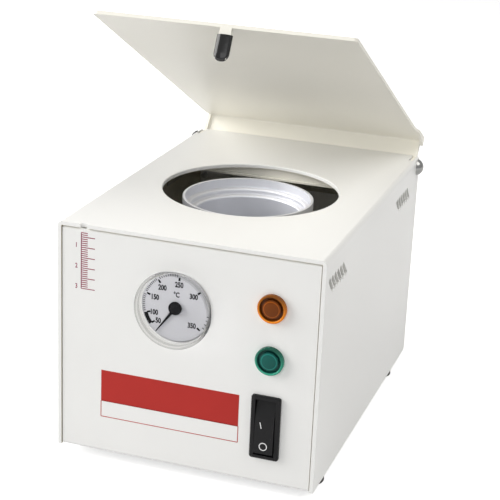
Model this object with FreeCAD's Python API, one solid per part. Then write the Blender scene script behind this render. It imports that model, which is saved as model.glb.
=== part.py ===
import FreeCAD, Part
import math
import os

# Glass bead instrument sterilizer: a folded sheet case with a heated crucible under a round
# opening, a tilting lid on two side screws, and a front panel with a dial thermometer,
# two pilot lamps and a rocker switch. Millimetres, +Z up, the front panel faces -Y.
# Everything is modelled with X = 0 in the middle of the case, Y = 0 at its front edge and
# Z = 0 at its lower edge, and is moved at the end so that the origin lies on the surface it
# stands on, in the middle of the whole object.

# Case
case_width = 127.5
case_depth = 183.5
case_height = 112.5
cover_sheet = 1.8
cover_bend = 2.2
cover_corner = 4.5
chassis_sheet = 1.2
chassis_bend = 1.4
chassis_lift = 0.2
panel_gap = 0.4
panel_inset = 0.4
panel_lip = 8.0
rear_flange = 10.0
rear_flange_drop = 16.0

# Round opening in the top, the file notch in its front edge, and the side vents
opening_radius = 43.6
opening_y = 85.6
opening_edge = 0.5
notch_width = 3.5
notch_depth = 1.6
notch_x = -50.8
vent_count = 6
vent_pitch = 4.5
vent_width = 1.3
vent_run = 7.3
vent_top_drop = 10.4
vent_front_y = 5.6
vent_rear_y = 131.6
base_vent_count = 7
base_vent_pitch = 9.0
base_vent_length = 34.0
base_vent_width = 3.0

# Feet
foot_height = 5.0
foot_radius = 8.0
foot_flare = 1.0
foot_inset = 10.2
foot_front_y = 23.0
foot_back = 28.5
foot_recess = 3.2
small_screw = 1.5
small_head = 2.8
small_head_height = 1.8
recess_reach = 0.5
recess_width = 0.5
recess_depth = 0.7
nut_across = 5.5
nut_height = 2.4

# Crucible and what heats and carries it
crucible_x = -1.3
rim_drop = 4.3
rim_radius = 32.4
rim_height = 4.6
rim_wall = 1.2
upper_step_radius = 28.4
upper_step_drop = 4.4
bowl_radius = 26.0
bowl_step_drop = 7.2
bowl_depth = 54.5
bowl_corner = 5.0
crucible_wall = 2.4
crucible_floor = 4.0
step_edge = 1.3
band_clearance = 0.05
band_sheet = 1.8
band_height = 34.0
band_lift = 6.0
band_split = 5.0
band_ear = 9.0
collar_radius = 31.9
collar_gap = 0.3
pad_thickness = 5.0
pad_radius = 30.0
jacket_clearance = 0.8
jacket_wall = 10.0
jacket_height = 45.0
shield_gap = 0.4
shield_sheet = 0.8
shield_height = 50.0
shield_hole = 33.4
stand_sheet = 1.5
stand_margin = 1.2
stand_width = 60.0
stand_flange = 9.0
brace_sheet = 0.9
brace_y = 131.5
brace_drop = 6.3
brace_lip = 1.0
brace_shelf = 16.0

# Lid: measured from its pivot with the plate level, then tilted to its open rest position
lid_open = 27.6
lid_sheet = 1.6
lid_bend = 2.4
lid_width = 124.5
lid_rise = 16.3
lid_reach = 172.0
lid_fold = 6.8
lid_corner = 2.0
strip_lean = 13.0
strip_length = 10.6
gusset_length = 15.0
gusset_height = 3.4
gusset_flare = 1.5
arm_gap = 0.5
arm_lead = 1.2
arm_boss = 4.2
arm_slot = 0.5
arm_slot_length = 10.6
pivot_back = 5.5
pivot_drop = 4.7
pivot_pin = 1.5
pivot_clearance = 0.06
pivot_head = 4.5
pivot_head_height = 3.2
pivot_nut_height = 2.4
pivot_nut_across = 5.5
arm_notch_depth = 13.0
tab_offset = 2.3
tab_width = 5.5
tab_length = 14.3
cap_wall = 0.9
cap_length = 12.0
cap_end = 1.0

# Dial thermometer
gauge_x = -5.0
gauge_share = 0.70978
gauge_radius = 16.0
gauge_flange = 16.8
gauge_flange_thick = 0.5
gauge_depth = 17.6
gauge_wall = 1.0
gauge_fit = 0.2
dial_radius = 16.2
dial_sheet = 0.4
lens_radius = 18.4
lens_stand = 6.4
lens_seat = 0.45
lens_wall = 1.1
lens_edge = 1.6
hub_radius = 3.1
hub_height = 1.2
hub_gap = 0.5
needle_length = 15.7
needle_root = 1.7
needle_tip = 0.4
needle_sheet = 0.35
needle_tail = 1.5
needle_rest = 233.9
spindle_radius = 0.8
spindle_clearance = 0.05
movement_radius = 8.0
movement_depth = 9.0
capillary_radius = 0.7
coil_radius = 5.0
coil_length = 4.0
bulb_radius = 2.2
bulb_length = 18.0
bulb_gap = 0.4
bulb_clearance = 0.1
gland_radius = 4.6
gland_flange = 1.2

# Pilot lamps
lamp_inset = 23.45
amber_share = 0.77244
green_share = 0.55022
lamp_flange = 6.7
lamp_flange_height = 2.2
lamp_rim_round = 0.55
lamp_recess = 5.5
lamp_recess_depth = 1.9
lamp_boss = 4.4
lamp_boss_height = 1.6
lamp_dome_height = 0.6
lamp_neck = 5.0
lamp_fit = 0.2
lamp_neck_depth = 4.0
lamp_body = 4.9
lamp_body_length = 16.0
lamp_nut = 7.4
lamp_nut_height = 3.0
blade_width = 2.8
blade_sheet = 0.5
blade_length = 7.0

# Rocker switch
switch_inset = 24.05
switch_share = 0.256
bezel_width = 13.9
bezel_height = 31.3
bezel_stand = 1.8
bezel_corner = 1.2
switch_width = 11.6
switch_height = 28.6
switch_depth = 17.0
switch_fit = 0.2
rocker_width = 9.1
rocker_gap = 0.35
rocker_radius = 13.5
rocker_pivot_y = 3.0
rocker_pin = 1.4
rocker_back = 4.2
rocker_top_y = 1.2
rocker_crease_y = -1.6
rocker_crease_z = 4.2
rocker_bottom_y = -2.6
well_depth = 9.4

# Rear inlet and the electrical pieces inside
inlet_x = -24.0
inlet_z = 34.0
inlet_flange_width = 50.0
inlet_flange_height = 22.5
inlet_flange_thick = 2.6
inlet_body_width = 27.6
inlet_body_height = 20.0
inlet_body_depth = 19.0
inlet_cavity_width = 24.4
inlet_cavity_height = 16.6
inlet_cavity_depth = 17.0
inlet_corner = 4.0
inlet_screw_spacing = 40.0
inlet_pin_width = 2.0
inlet_pin_height = 4.0
inlet_pin_length = 14.0
inlet_pin_spacing = 14.0
inlet_pin_step = 4.0
thermostat_inset = 25.75
thermostat_y = 30.0
thermostat_width = 30.0
thermostat_depth = 22.0
thermostat_height = 26.0
thermostat_spindle = 3.0
terminal_foot_gap = 8.55
terminal_back = 27.5
terminal_width = 30.0
terminal_depth = 15.0
terminal_height = 13.0
terminal_poles = 3
cutout_radius = 8.0
cutout_height = 6.0
earth_gap = 15.0
earth_back = 23.5
earth_radius = 2.0
earth_length = 9.0

# Levels worked out from the sizes above
half_width = case_width / 2
gauge_z = case_height * gauge_share
amber_z = case_height * amber_share
green_z = case_height * green_share
switch_z = case_height * switch_share
foot_x = half_width - foot_inset
lamp_x = half_width - lamp_inset
switch_x = half_width - switch_inset
thermostat_x = thermostat_inset - half_width
foot_rear_y = case_depth - foot_back
terminal_x = foot_x - terminal_foot_gap - terminal_width / 2
terminal_y = case_depth - terminal_back
earth_x = terminal_x - terminal_width / 2 - earth_gap
earth_y = case_depth - earth_back
inner_half = half_width - cover_sheet
panel_half = inner_half - panel_gap
panel_top = case_height - cover_sheet - panel_gap
floor_top = chassis_lift + chassis_sheet
panel_back = panel_inset + chassis_sheet
rear_inner = case_depth - cover_sheet - chassis_sheet
pivot_y = case_depth - pivot_back
pivot_z = case_height - pivot_drop
arm_outer = inner_half - arm_gap
arm_inner = arm_outer - lid_sheet
rim_top = case_height - rim_drop
crucible_radius = bowl_radius + crucible_wall
crucible_bottom = rim_top - bowl_depth - crucible_floor
stand_top = crucible_bottom - pad_thickness
jacket_inner = crucible_radius + band_clearance + band_sheet + jacket_clearance
jacket_outer = jacket_inner + jacket_wall
shield_inner = jacket_outer + shield_gap
shield_outer = shield_inner + shield_sheet
stand_half = shield_outer + stand_margin


def vec(x, y, z):
    return FreeCAD.Vector(x, y, z)


AXIS_X = vec(1, 0, 0)
AXIS_Y = vec(0, 1, 0)
AXIS_Z = vec(0, 0, 1)


def block(x0, x1, y0, y1, z0, z1):
    """A box between two corners."""
    return Part.makeBox(x1 - x0, y1 - y0, z1 - z0, vec(x0, y0, z0))


def rod(radius, start, axis, length):
    """A cylinder from a start point along an axis."""
    return Part.makeCylinder(radius, length, start, axis)


def flat(points):
    """The face inside a closed outline of points."""
    return Part.Face(Part.makePolygon(points + [points[0]]))


def side_prism(outline, x0, x1):
    """An outline of (y, z) points, drawn out along X."""
    return flat([vec(x0, y, z) for y, z in outline]).extrude(vec(x1 - x0, 0, 0))


def turned(outline, centre, axis):
    """An outline of (radius, height) points turned about an axis through a centre."""
    across = AXIS_X
    face = flat([centre + across * r + axis * h for r, h in outline])
    return face.revolve(centre, axis, 360)


def hexagon(across, start, axis, length):
    """A hexagonal prism with its flats this far apart."""
    corner = across / math.sqrt(3)
    side = AXIS_X if abs(axis.x) < 0.5 else AXIS_Y
    other = axis.cross(side)
    steps = [math.radians(60 * k) for k in range(6)]
    points = [start + side * (corner * math.cos(a)) + other * (corner * math.sin(a)) for a in steps]
    return flat(points).extrude(axis * length)


def edges_along(shape, axis, test):
    """Straight edges of a shape that run along an axis and whose middle passes a test."""
    found = []
    for edge in shape.Edges:
        if not isinstance(edge.Curve, Part.Line):
            continue
        run = edge.Vertexes[-1].Point - edge.Vertexes[0].Point
        middle = (edge.Vertexes[-1].Point + edge.Vertexes[0].Point) * 0.5
        if abs(run.dot(axis)) > 0.99 * run.Length and test(middle):
            found.append(edge)
    return found


def circles(shape, radius, test):
    """Round edges of a shape with this radius whose centre passes a test."""
    found = []
    for edge in shape.Edges:
        curve = edge.Curve
        if isinstance(curve, Part.Circle) and abs(curve.Radius - radius) < 1e-4 and test(curve.Center):
            found.append(edge)
    return found


def near(value, target):
    return abs(value - target) < 1e-4


def rounded_block(x0, x1, y0, y1, z0, z1, radius, axis):
    """A box whose four edges along an axis are rounded."""
    shape = block(x0, x1, y0, y1, z0, z1)
    return shape.makeFillet(radius, edges_along(shape, axis, lambda p: True))


def mirrored(shape):
    """The same shape on the other side of the middle plane."""
    return shape.mirror(vec(0, 0, 0), AXIS_X)


def screw(start, axis, radius, length, head_radius, head_height):
    """A round-headed screw: its head lies behind the start point, its shank ahead of it."""
    dome = [(0, -head_height), (head_radius * 0.55, -head_height), (head_radius, -head_height * 0.35)]
    outline = dome + [(head_radius, 0), (radius, 0), (radius, length), (0, length)]
    across = AXIS_X if abs(axis.x) < 0.5 else AXIS_Y
    face = flat([start + across * r + axis * h for r, h in outline])
    body = face.revolve(start, axis, 360)
    return cross_recess(body, start - axis * head_height, axis, across, head_radius * recess_reach)


def cross_recess(body, top, axis, across, reach):
    """Cuts two crossed driver slots into the top of a screw's head."""
    half = recess_width / 2
    for way in (across, axis.cross(across)):
        side = axis.cross(way)
        corners = [(-reach, -half), (reach, -half), (reach, half), (-reach, half)]
        slot = flat([top - axis * recess_depth + way * a + side * b for a, b in corners])
        body = body.cut(slot.extrude(axis * (2 * recess_depth)))
    return body


def arm_notch_box(side):
    """The space that a lid arm passes through at the rear top corner on one side."""
    low = min(side * (arm_inner - arm_slot), side * (inner_half))
    high = max(side * (arm_inner - arm_slot), side * (inner_half))
    return low, high


def side_vents(side):
    """Two rows of slanting slots near the top of one side wall."""
    cuts = []
    x0 = side * half_width - 2 * cover_sheet
    x1 = side * half_width + 2 * cover_sheet
    top = case_height - vent_top_drop
    half = vent_width * math.sqrt(0.5)
    for first in (vent_front_y, vent_rear_y):
        for k in range(vent_count):
            y = first + k * vent_pitch
            slot = [(y - half, top - half), (y + half, top + half)]
            slot += [(y + vent_run + half, top - vent_run + half),
                (y + vent_run - half, top - vent_run - half)]
            cuts.append(side_prism(slot, x0, x1))
    return cuts


def cover():
    """Wrapped sheet: top, two sides and narrow rear flanges, open below, in front and behind."""
    outer = block(-half_width, half_width, 0, case_depth, 0, case_height)
    bends = edges_along(outer, AXIS_Y, lambda p: near(p.z, case_height))
    bends += edges_along(outer, AXIS_Z, lambda p: near(p.y, case_depth))
    outer = outer.makeFillet(cover_bend, bends)
    reach = cover_bend * 2
    inner = block(-inner_half, inner_half, -reach, case_depth - cover_sheet, -reach,
        case_height - cover_sheet)
    inside = edges_along(inner, AXIS_Y, lambda p: p.z > 0)
    inside += edges_along(inner, AXIS_Z, lambda p: p.y > 0)
    inner = inner.makeFillet(cover_bend - cover_sheet, inside)
    shell = outer.cut(inner)
    gap_half = half_width - rear_flange
    under_top = case_height - cover_sheet
    rear_y0 = case_depth - cover_bend
    rear_y1 = case_depth + reach
    flange_top = case_height - rear_flange_drop
    cuts = [block(-gap_half, gap_half, rear_y0, rear_y1, -reach, under_top)]
    cuts.append(block(-inner_half, inner_half, rear_y0, rear_y1, flange_top, under_top))
    cuts.append(rod(opening_radius, vec(0, opening_y, under_top - reach), AXIS_Z, 3 * reach))
    notch_low = notch_x - notch_width / 2
    notch_high = notch_x + notch_width / 2
    cuts.append(block(notch_low, notch_high, -reach, notch_depth, under_top - reach, case_height + reach))
    for side in (-1, 1):
        low, high = arm_notch_box(side)
        cuts.append(block(low, high, case_depth - arm_slot_length, rear_y1, under_top - cover_bend,
            case_height + reach))
        start = vec(side * half_width - side * reach, pivot_y, pivot_z)
        cuts.append(rod(pivot_pin + pivot_clearance, start, AXIS_X * side, 2 * reach))
        cuts += side_vents(side)
        for z in cover_screw_heights():
            start = vec(side * cover_screw_x(), rear_y0 - reach, z)
            cuts.append(rod(small_screw + panel_gap / 2, start, AXIS_Y, 3 * reach))
    corner_y = case_depth - cover_corner
    corner = block(-case_width, case_width, corner_y, case_depth + reach, -reach, cover_corner)
    cuts.append(corner.cut(rod(cover_corner, vec(-case_width, corner_y, cover_corner), AXIS_X,
        2 * case_width)))
    for cut in cuts:
        shell = shell.cut(cut)
    edge = circles(shell, opening_radius, lambda c: near(c.z, case_height))
    return shell.makeFillet(opening_edge, edge)


def cover_screw_x():
    return half_width - rear_flange / 2


def cover_screw_heights():
    low = floor_top + rear_flange
    return (low, case_height - rear_flange_drop - rear_flange)


def foot_places():
    """Centres of the four feet."""
    return [(side * foot_x, y) for y in (foot_front_y, foot_rear_y) for side in (-1, 1)]


def chassis_body():
    """Front panel, floor and rear panel folded from one sheet."""
    outer = block(-panel_half, panel_half, panel_inset, case_depth - cover_sheet, chassis_lift, panel_top)
    bends = edges_along(outer, AXIS_X, lambda p: near(p.z, chassis_lift))
    bends += edges_along(outer, AXIS_X, lambda p: near(p.z, panel_top) and near(p.y, panel_inset))
    outer = outer.makeFillet(chassis_bend, bends)
    reach = chassis_bend * 2
    inner = block(-panel_half - reach, panel_half + reach, panel_back, rear_inner, floor_top,
        panel_top - chassis_sheet)
    inside = edges_along(inner, AXIS_X, lambda p: p.z < case_height / 2 or p.y < case_depth / 2)
    inner = inner.makeFillet(chassis_bend - chassis_sheet, inside)
    lip_end = panel_inset + panel_lip
    above = block(-panel_half - reach, panel_half + reach, lip_end, rear_inner, floor_top + reach,
        case_height)
    return outer.cut(inner).cut(above)


def chassis():
    """The folded sheet with its cut-outs for the gauge, lamps, switch, inlet, feet and vents."""
    body = chassis_body()
    through = chassis_sheet * 4
    front = panel_inset - chassis_sheet
    rear = rear_inner - chassis_sheet
    cuts = [rod(gauge_radius + gauge_fit, vec(gauge_x, front, gauge_z), AXIS_Y, through)]
    for z in (amber_z, green_z):
        cuts.append(rod(lamp_neck + lamp_fit, vec(lamp_x, front, z), AXIS_Y, through))
    hole_x = switch_width / 2 + switch_fit
    hole_z = switch_height / 2 + switch_fit
    cuts.append(block(switch_x - hole_x, switch_x + hole_x, front, front + through, switch_z - hole_z,
        switch_z + hole_z))
    inlet_w = inlet_body_width / 2 + switch_fit
    inlet_h = inlet_body_height / 2 + switch_fit
    cuts.append(block(inlet_x - inlet_w, inlet_x + inlet_w, rear, rear + through, inlet_z - inlet_h,
        inlet_z + inlet_h))
    for side in (-1, 1):
        x = inlet_x + side * inlet_screw_spacing / 2
        cuts.append(rod(small_screw, vec(x, rear, inlet_z), AXIS_Y, through))
        low, high = arm_notch_box(side)
        wide = side * (panel_half + panel_gap)
        nut_space = side * (arm_inner - 2 * pivot_nut_height)
        x0 = min(nut_space, wide)
        x1 = max(nut_space, wide)
        notch = block(x0, x1, rear, rear + through, panel_top - arm_notch_depth, case_height)
        cuts.append(notch)
        for z in cover_screw_heights():
            cuts.append(rod(small_screw, vec(side * cover_screw_x(), rear, z), AXIS_Y, through))
    for x, y in foot_places():
        cuts.append(rod(small_screw, vec(x, y, 0), AXIS_Z, through))
    cuts.append(rod(earth_radius, vec(earth_x, earth_y, 0), AXIS_Z, through))
    half_run = base_vent_length / 2
    for k in range(base_vent_count):
        x = (k - (base_vent_count - 1) / 2) * base_vent_pitch
        x0 = x - base_vent_width / 2
        x1 = x + base_vent_width / 2
        cuts.append(block(x0, x1, opening_y - half_run, opening_y + half_run, 0, through))
        z0 = panel_top - 2 * base_vent_width - half_run
        cuts.append(block(x0, x1, rear, rear + through, z0, z0 + half_run))
    for cut in cuts:
        body = body.cut(cut)
    return body


def rear_brace():
    """Angle strip under the top, just behind the opening, its lower edge bent forward."""
    top = case_height - cover_sheet
    low = top - brace_drop
    inner_y = brace_y + brace_sheet
    lip_y = brace_y - brace_lip
    outline = [(brace_y, top), (brace_y + brace_shelf, top), (brace_y + brace_shelf, top - brace_sheet)]
    outline += [(inner_y, top - brace_sheet), (inner_y, low), (lip_y, low)]
    outline += [(lip_y, low + brace_sheet), (brace_y, low + brace_sheet)]
    reach = panel_half - cover_bend
    angle = side_prism(outline, -reach, reach)
    bend = edges_along(angle, AXIS_X, lambda p: near(p.y, inner_y) and near(p.z, top - brace_sheet))
    return angle.makeFillet(brace_sheet, bend)


def feet():
    """Four rubber feet, wider at the bottom, with a recess for the screw head."""
    solids = []
    for x, y in foot_places():
        low = -foot_height
        outline = [(foot_recess, low), (foot_radius + foot_flare, low), (foot_radius, chassis_lift)]
        outline += [(small_screw, chassis_lift), (small_screw, low + 2 * small_head_height)]
        outline += [(foot_recess, low + 2 * small_head_height)]
        solids.append(turned(outline, vec(x, y, 0), AXIS_Z))
    return Part.makeCompound(solids)


def foot_screws():
    """Screws that go up through the feet and the floor."""
    start = -foot_height + 2 * small_head_height
    length = floor_top - start + 2 * nut_height
    return Part.makeCompound([
        screw(vec(x, y, start), AXIS_Z, small_screw, length, small_head, small_head_height)
        for x, y in foot_places()])


def nut(across, hole, start, axis, length):
    """A hexagonal nut with its hole."""
    return hexagon(across, start, axis, length).cut(rod(hole, start - axis, axis, length + 2))


def foot_nuts():
    """Nuts that hold the feet, on top of the floor."""
    return Part.makeCompound([
        nut(nut_across, small_screw, vec(x, y, floor_top), AXIS_Z, nut_height) for x, y in foot_places()])


def crucible():
    """Turned aluminium cup with a stepped mouth."""
    z0 = crucible_bottom
    step1 = rim_top - upper_step_drop
    step2 = rim_top - bowl_step_drop
    under_rim = rim_top - rim_height
    outline = [(0, z0), (crucible_radius, z0), (crucible_radius, under_rim - crucible_wall)]
    outline += [(rim_radius - rim_wall, under_rim), (rim_radius, under_rim), (rim_radius, rim_top)]
    outline += [(rim_radius - rim_wall, rim_top), (upper_step_radius + 2 * step_edge, step1)]
    outline += [(upper_step_radius, step1), (bowl_radius + 2 * step_edge, step2), (bowl_radius, step2)]
    outline += [(bowl_radius, z0 + crucible_floor), (0, z0 + crucible_floor)]
    cup = turned(outline, vec(crucible_x, opening_y, 0), AXIS_Z)
    ledges = circles(cup, upper_step_radius, lambda c: near(c.z, step1))
    ledges += circles(cup, bowl_radius, lambda c: near(c.z, step2))
    cup = cup.makeFillet(step_edge, ledges)
    corner = circles(cup, bowl_radius, lambda c: near(c.z, z0 + crucible_floor))
    return cup.makeFillet(bowl_corner, corner)


def heater_collar():
    """Ring under the crucible's rim that closes the top of the heater."""
    inner = crucible_radius + band_clearance
    low = crucible_bottom + band_lift + band_height + collar_gap
    high = rim_top - rim_height - collar_gap
    slope_end = high - crucible_wall
    outline = [(inner, low), (collar_radius, low), (collar_radius, high), (rim_radius - rim_wall, high)]
    outline += [(inner, slope_end - collar_gap)]
    return turned(outline, vec(crucible_x, opening_y, 0), AXIS_Z)


def crucible_pad():
    """Hard insulating disc under the crucible."""
    return rod(pad_radius, vec(crucible_x, opening_y, stand_top), AXIS_Z, pad_thickness)


def crucible_stand():
    """Folded bridge that carries the crucible and its insulation above the floor."""
    x0 = crucible_x - stand_half
    x1 = crucible_x + stand_half
    top = stand_top
    y0 = opening_y - stand_width / 2
    y1 = opening_y + stand_width / 2
    outer = block(x0, x1, y0, y1, floor_top, top)
    outer = outer.makeFillet(2 * stand_sheet, edges_along(outer, AXIS_Y, lambda p: near(p.z, top)))
    inner = block(x0 + stand_sheet, x1 - stand_sheet, y0, y1, 0, top - stand_sheet)
    inner = inner.makeFillet(stand_sheet, edges_along(inner, AXIS_Y, lambda p: p.z > floor_top))
    bridge = outer.cut(inner)
    for low, high in ((x0 - stand_flange, x0 + stand_sheet), (x1 - stand_sheet, x1 + stand_flange)):
        bridge = bridge.fuse(block(low, high, y0, y1, floor_top, floor_top + stand_sheet))
    plate = rod(shield_outer, vec(crucible_x, opening_y, top - stand_sheet), AXIS_Z, stand_sheet)
    bridge = bridge.fuse(plate).removeSplitter()
    for x, y in stand_screw_places():
        hole = rod(small_screw, vec(x, y, 0), AXIS_Z, floor_top + 2 * stand_sheet)
        bridge = bridge.cut(hole)
    return bridge


def stand_screw_places():
    """Where the four screws of the bridge stand."""
    reach = stand_half + stand_flange / 2
    shift = stand_width / 2 - stand_flange
    return [(crucible_x + i * reach, opening_y + k * shift) for i in (-1, 1) for k in (-1, 1)]


def stand_screws():
    """Four short screws that hold the bridge to the floor."""
    start = floor_top + stand_sheet
    return Part.makeCompound([
        screw(vec(x, y, start), AXIS_Z * -1, small_screw, stand_sheet, small_head, small_head_height)
        for x, y in stand_screw_places()])


def heater_band():
    """Split band heater round the crucible, with two clamping ears at the back."""
    z0 = crucible_bottom + band_lift
    inner = crucible_radius + band_clearance
    outer = inner + band_sheet
    centre = vec(crucible_x, opening_y, z0)
    ring = rod(outer, centre, AXIS_Z, band_height)
    half = band_split / 2
    ear_end = opening_y + outer + band_ear
    ear = half + band_sheet
    y0 = opening_y + inner + band_sheet / 2
    ears = block(crucible_x - ear, crucible_x + ear, y0, ear_end, z0, z0 + band_height)
    band = ring.fuse(ears).cut(rod(inner, centre, AXIS_Z, band_height))
    y0 = opening_y + inner / 2
    band = band.cut(block(crucible_x - half, crucible_x + half, y0, ear_end + 1, z0, z0 + band_height))
    hole = rod(small_screw, band_screw_start() - AXIS_X, AXIS_X, band_split + 2 * band_sheet + 2)
    return band.cut(hole)


def band_screw_start():
    inner = crucible_radius + band_clearance
    y = opening_y + inner + band_sheet + band_ear - small_head
    x = crucible_x - band_split / 2 - band_sheet
    return vec(x, y, crucible_bottom + band_lift + band_height / 2)


def band_screw():
    """Clamp screw through the ears of the heater band, with its nut."""
    length = band_split + 2 * band_sheet + nut_height
    bolt = screw(band_screw_start(), AXIS_X, small_screw, length, small_head, small_head_height)
    tip = band_screw_start() + AXIS_X * (band_split + 2 * band_sheet)
    return Part.makeCompound([bolt, nut(nut_across, small_screw, tip, AXIS_X, nut_height)])


def insulation_jacket():
    """Thick sleeve of insulation round the heater, slotted for the band's ears."""
    centre = vec(crucible_x, opening_y, stand_top)
    sleeve = rod(jacket_outer, centre, AXIS_Z, jacket_height)
    sleeve = sleeve.cut(rod(jacket_inner, centre, AXIS_Z, jacket_height))
    sleeve = sleeve.cut(bulb_bore(bulb_radius + bulb_clearance))
    half = band_split / 2 + band_sheet + small_head_height + nut_height
    z0 = stand_top + pad_thickness + band_lift / 2
    y0 = opening_y + jacket_inner / 2
    y1 = opening_y + jacket_outer + 1
    slot = block(crucible_x - half, crucible_x + half, y0, y1, z0, stand_top + jacket_height)
    return sleeve.cut(slot)


def heat_shield():
    """Thin sheet can round the insulation, with a ring-shaped top."""
    centre = vec(crucible_x, opening_y, 0)
    top = stand_top + shield_height
    outline = [(shield_inner, stand_top), (shield_outer, stand_top), (shield_outer, top),
        (shield_hole, top)]
    outline += [(shield_hole, top - shield_sheet), (shield_inner, top - shield_sheet)]
    can = turned(outline, centre, AXIS_Z)
    can = can.makeFillet(shield_sheet * 1.5, circles(can, shield_outer, lambda c: near(c.z, top)))
    start = sensor_start(opening_y - shield_outer - gland_flange)
    hole = gland_radius - gland_flange + bulb_clearance
    return can.cut(rod(hole, start, AXIS_Y, shield_outer - jacket_inner))


def lid_axes(shape):
    """Tilts a shape made round the pivot to the open rest position, and puts it in place."""
    shape = shape.copy()
    shape.rotate(vec(0, 0, 0), AXIS_X, -lid_open)
    shape.translate(vec(0, pivot_y, pivot_z))
    return shape


def lid_level():
    """The lid with its plate level, measured from the pivot."""
    lean = math.radians(strip_lean)
    down = (-math.sin(lean), -math.cos(lean))
    out = (math.cos(lean), -math.sin(lean))
    foot = (lid_fold + strip_length * down[0], lid_rise + strip_length * down[1])
    foot_out = (foot[0] + lid_sheet * out[0], foot[1] + lid_sheet * out[1])
    up = lid_sheet * (1 + math.sin(lean)) / math.cos(lean)
    corner = (lid_fold + lid_sheet * out[0] - up * down[0], lid_rise + lid_sheet)
    section = [(-lid_reach, lid_rise), (lid_fold, lid_rise), foot, foot_out, corner]
    section += [(-lid_reach, lid_rise + lid_sheet)]
    plate_half = lid_width / 2
    sheet = side_prism(section, -arm_outer, arm_outer)
    sheet = sheet.makeFillet(lid_bend, edges_along(sheet, AXIS_X, lambda p: near(p.y, corner[0])))
    inner_corner = edges_along(sheet, AXIS_X, lambda p: near(p.y, lid_fold) and near(p.z, lid_rise))
    sheet = sheet.makeFillet(lid_bend - lid_sheet, inner_corner)
    edge_end = lid_fold - lid_bend
    wide = block(-plate_half, plate_half, -lid_reach, edge_end, lid_rise, lid_rise + lid_sheet)
    front = edges_along(wide, AXIS_Z, lambda p: near(p.y, -lid_reach))
    wide = wide.makeFillet(lid_corner, front)
    sheet = sheet.cut(block(-half_width, half_width, -lid_reach - 1, -lid_reach + lid_corner, 0,
        2 * lid_rise))
    lid_shape = sheet.fuse(wide)
    lid_shape = lid_shape.fuse(lid_gusset())
    for side in (-1, 1):
        lid_shape = lid_shape.fuse(lid_arm(side, foot, foot_out))
    lid_shape = lid_shape.fuse(lid_tab())
    for side in (-1, 1):
        start = vec(side * arm_inner - side * lid_sheet, 0, 0)
        lid_shape = lid_shape.cut(rod(pivot_pin + pivot_clearance, start, AXIS_X * side, 3 * lid_sheet))
    return lid_shape.removeSplitter()


def lid_gusset():
    """Turned-down corner at the right rear of the plate, flared out over the case's side."""
    edge = lid_width / 2
    x_out = edge + gusset_flare
    y_end = lid_fold - lid_bend
    y_full = -gusset_length + 3 * gusset_flare
    web = [vec(edge - lid_sheet, -gusset_length, lid_rise), vec(edge, -gusset_length, lid_rise)]
    web += [vec(x_out, y_full, lid_rise), vec(x_out, y_end, lid_rise),
        vec(edge - lid_sheet, y_end, lid_rise)]
    outline = [(y_full, lid_rise), (y_full, lid_rise + lid_sheet), (y_end, lid_rise + lid_sheet)]
    outline += [(y_end, lid_rise - gusset_height)]
    flange = side_prism(outline, x_out - lid_sheet, x_out)
    return flange.fuse(flat(web).extrude(vec(0, 0, lid_sheet)))


def lid_arm(side, foot, foot_out):
    """Arm that runs from the rear strip down to the pivot, inside the side wall."""
    outline = [(lid_fold - arm_lead, lid_rise + lid_sheet / 2), (foot[0] - arm_lead, foot[1])]
    outline += [(-arm_boss * 0.8, arm_boss * 0.6), (-arm_boss * 0.5, 0), (arm_boss, 0),
        (foot_out[0], foot_out[1])]
    outline += [(lid_fold + lid_sheet / 2, lid_rise + lid_sheet / 2)]
    low = min(side * arm_inner, side * arm_outer)
    high = max(side * arm_inner, side * arm_outer)
    arm = side_prism(outline, low, high)
    boss = rod(arm_boss, vec(low, 0, 0), AXIS_X, high - low)
    return arm.fuse(boss)


def lid_tab():
    """Tongue bent down from the middle of the free edge."""
    half = tab_width / 2
    low = lid_rise - tab_length
    tongue = block(tab_offset - half, tab_offset + half, -lid_reach, -lid_reach + lid_sheet, low,
        lid_rise + lid_sheet)
    return tongue


def lid():
    return lid_axes(lid_level())


def lid_tab_cap():
    """Soft cap pushed over the tongue: the lid rests on it when it is closed."""
    half = tab_width / 2 + cap_wall
    low = lid_rise - tab_length - cap_end
    y0 = -lid_reach - cap_wall
    y1 = -lid_reach + lid_sheet + cap_wall
    cap = block(tab_offset - half, tab_offset + half, y0, y1, low, low + cap_length)
    ends = edges_along(cap, AXIS_Y, lambda p: near(p.z, low))
    cap = cap.makeFillet(half * 0.8, ends)
    top = lid_rise - tab_length
    tongue = block(tab_offset - tab_width / 2, tab_offset + tab_width / 2, -lid_reach,
        -lid_reach + lid_sheet, top, lid_rise)
    return lid_axes(cap.cut(tongue))


def pivot_screws():
    """Two domed screws that the lid turns on, one through each side wall."""
    solids = []
    nut_start = arm_inner - washer_thickness()
    length = half_width - nut_start + pivot_nut_height
    for side in (-1, 1):
        start = vec(side * half_width, pivot_y, pivot_z)
        shank = rod(pivot_pin, start, AXIS_X * -side, length)
        ball = pivot_head_height / 2 + pivot_head ** 2 / (2 * pivot_head_height)
        centre = start + AXIS_X * (side * (pivot_head_height - ball))
        dome = Part.makeSphere(ball, centre)
        keep = rod(pivot_head, start, AXIS_X * side, pivot_head_height)
        solids.append(shank.fuse(dome.common(keep)))
    return Part.makeCompound(solids)


def washer_thickness():
    return arm_gap - panel_gap / 2


def pivot_washers():
    """Four friction washers, one on each face of the two lid arms."""
    solids = []
    thick = washer_thickness()
    slack = (arm_gap - thick) / 2
    for side in (-1, 1):
        for x in (inner_half - slack - thick, arm_inner - thick):
            start = vec(side * x, pivot_y, pivot_z)
            ring = rod(arm_boss, start, AXIS_X * side, thick)
            solids.append(ring.cut(rod(pivot_pin + pivot_clearance, start - AXIS_X, AXIS_X, 2 + thick)))
    return Part.makeCompound(solids)


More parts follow.
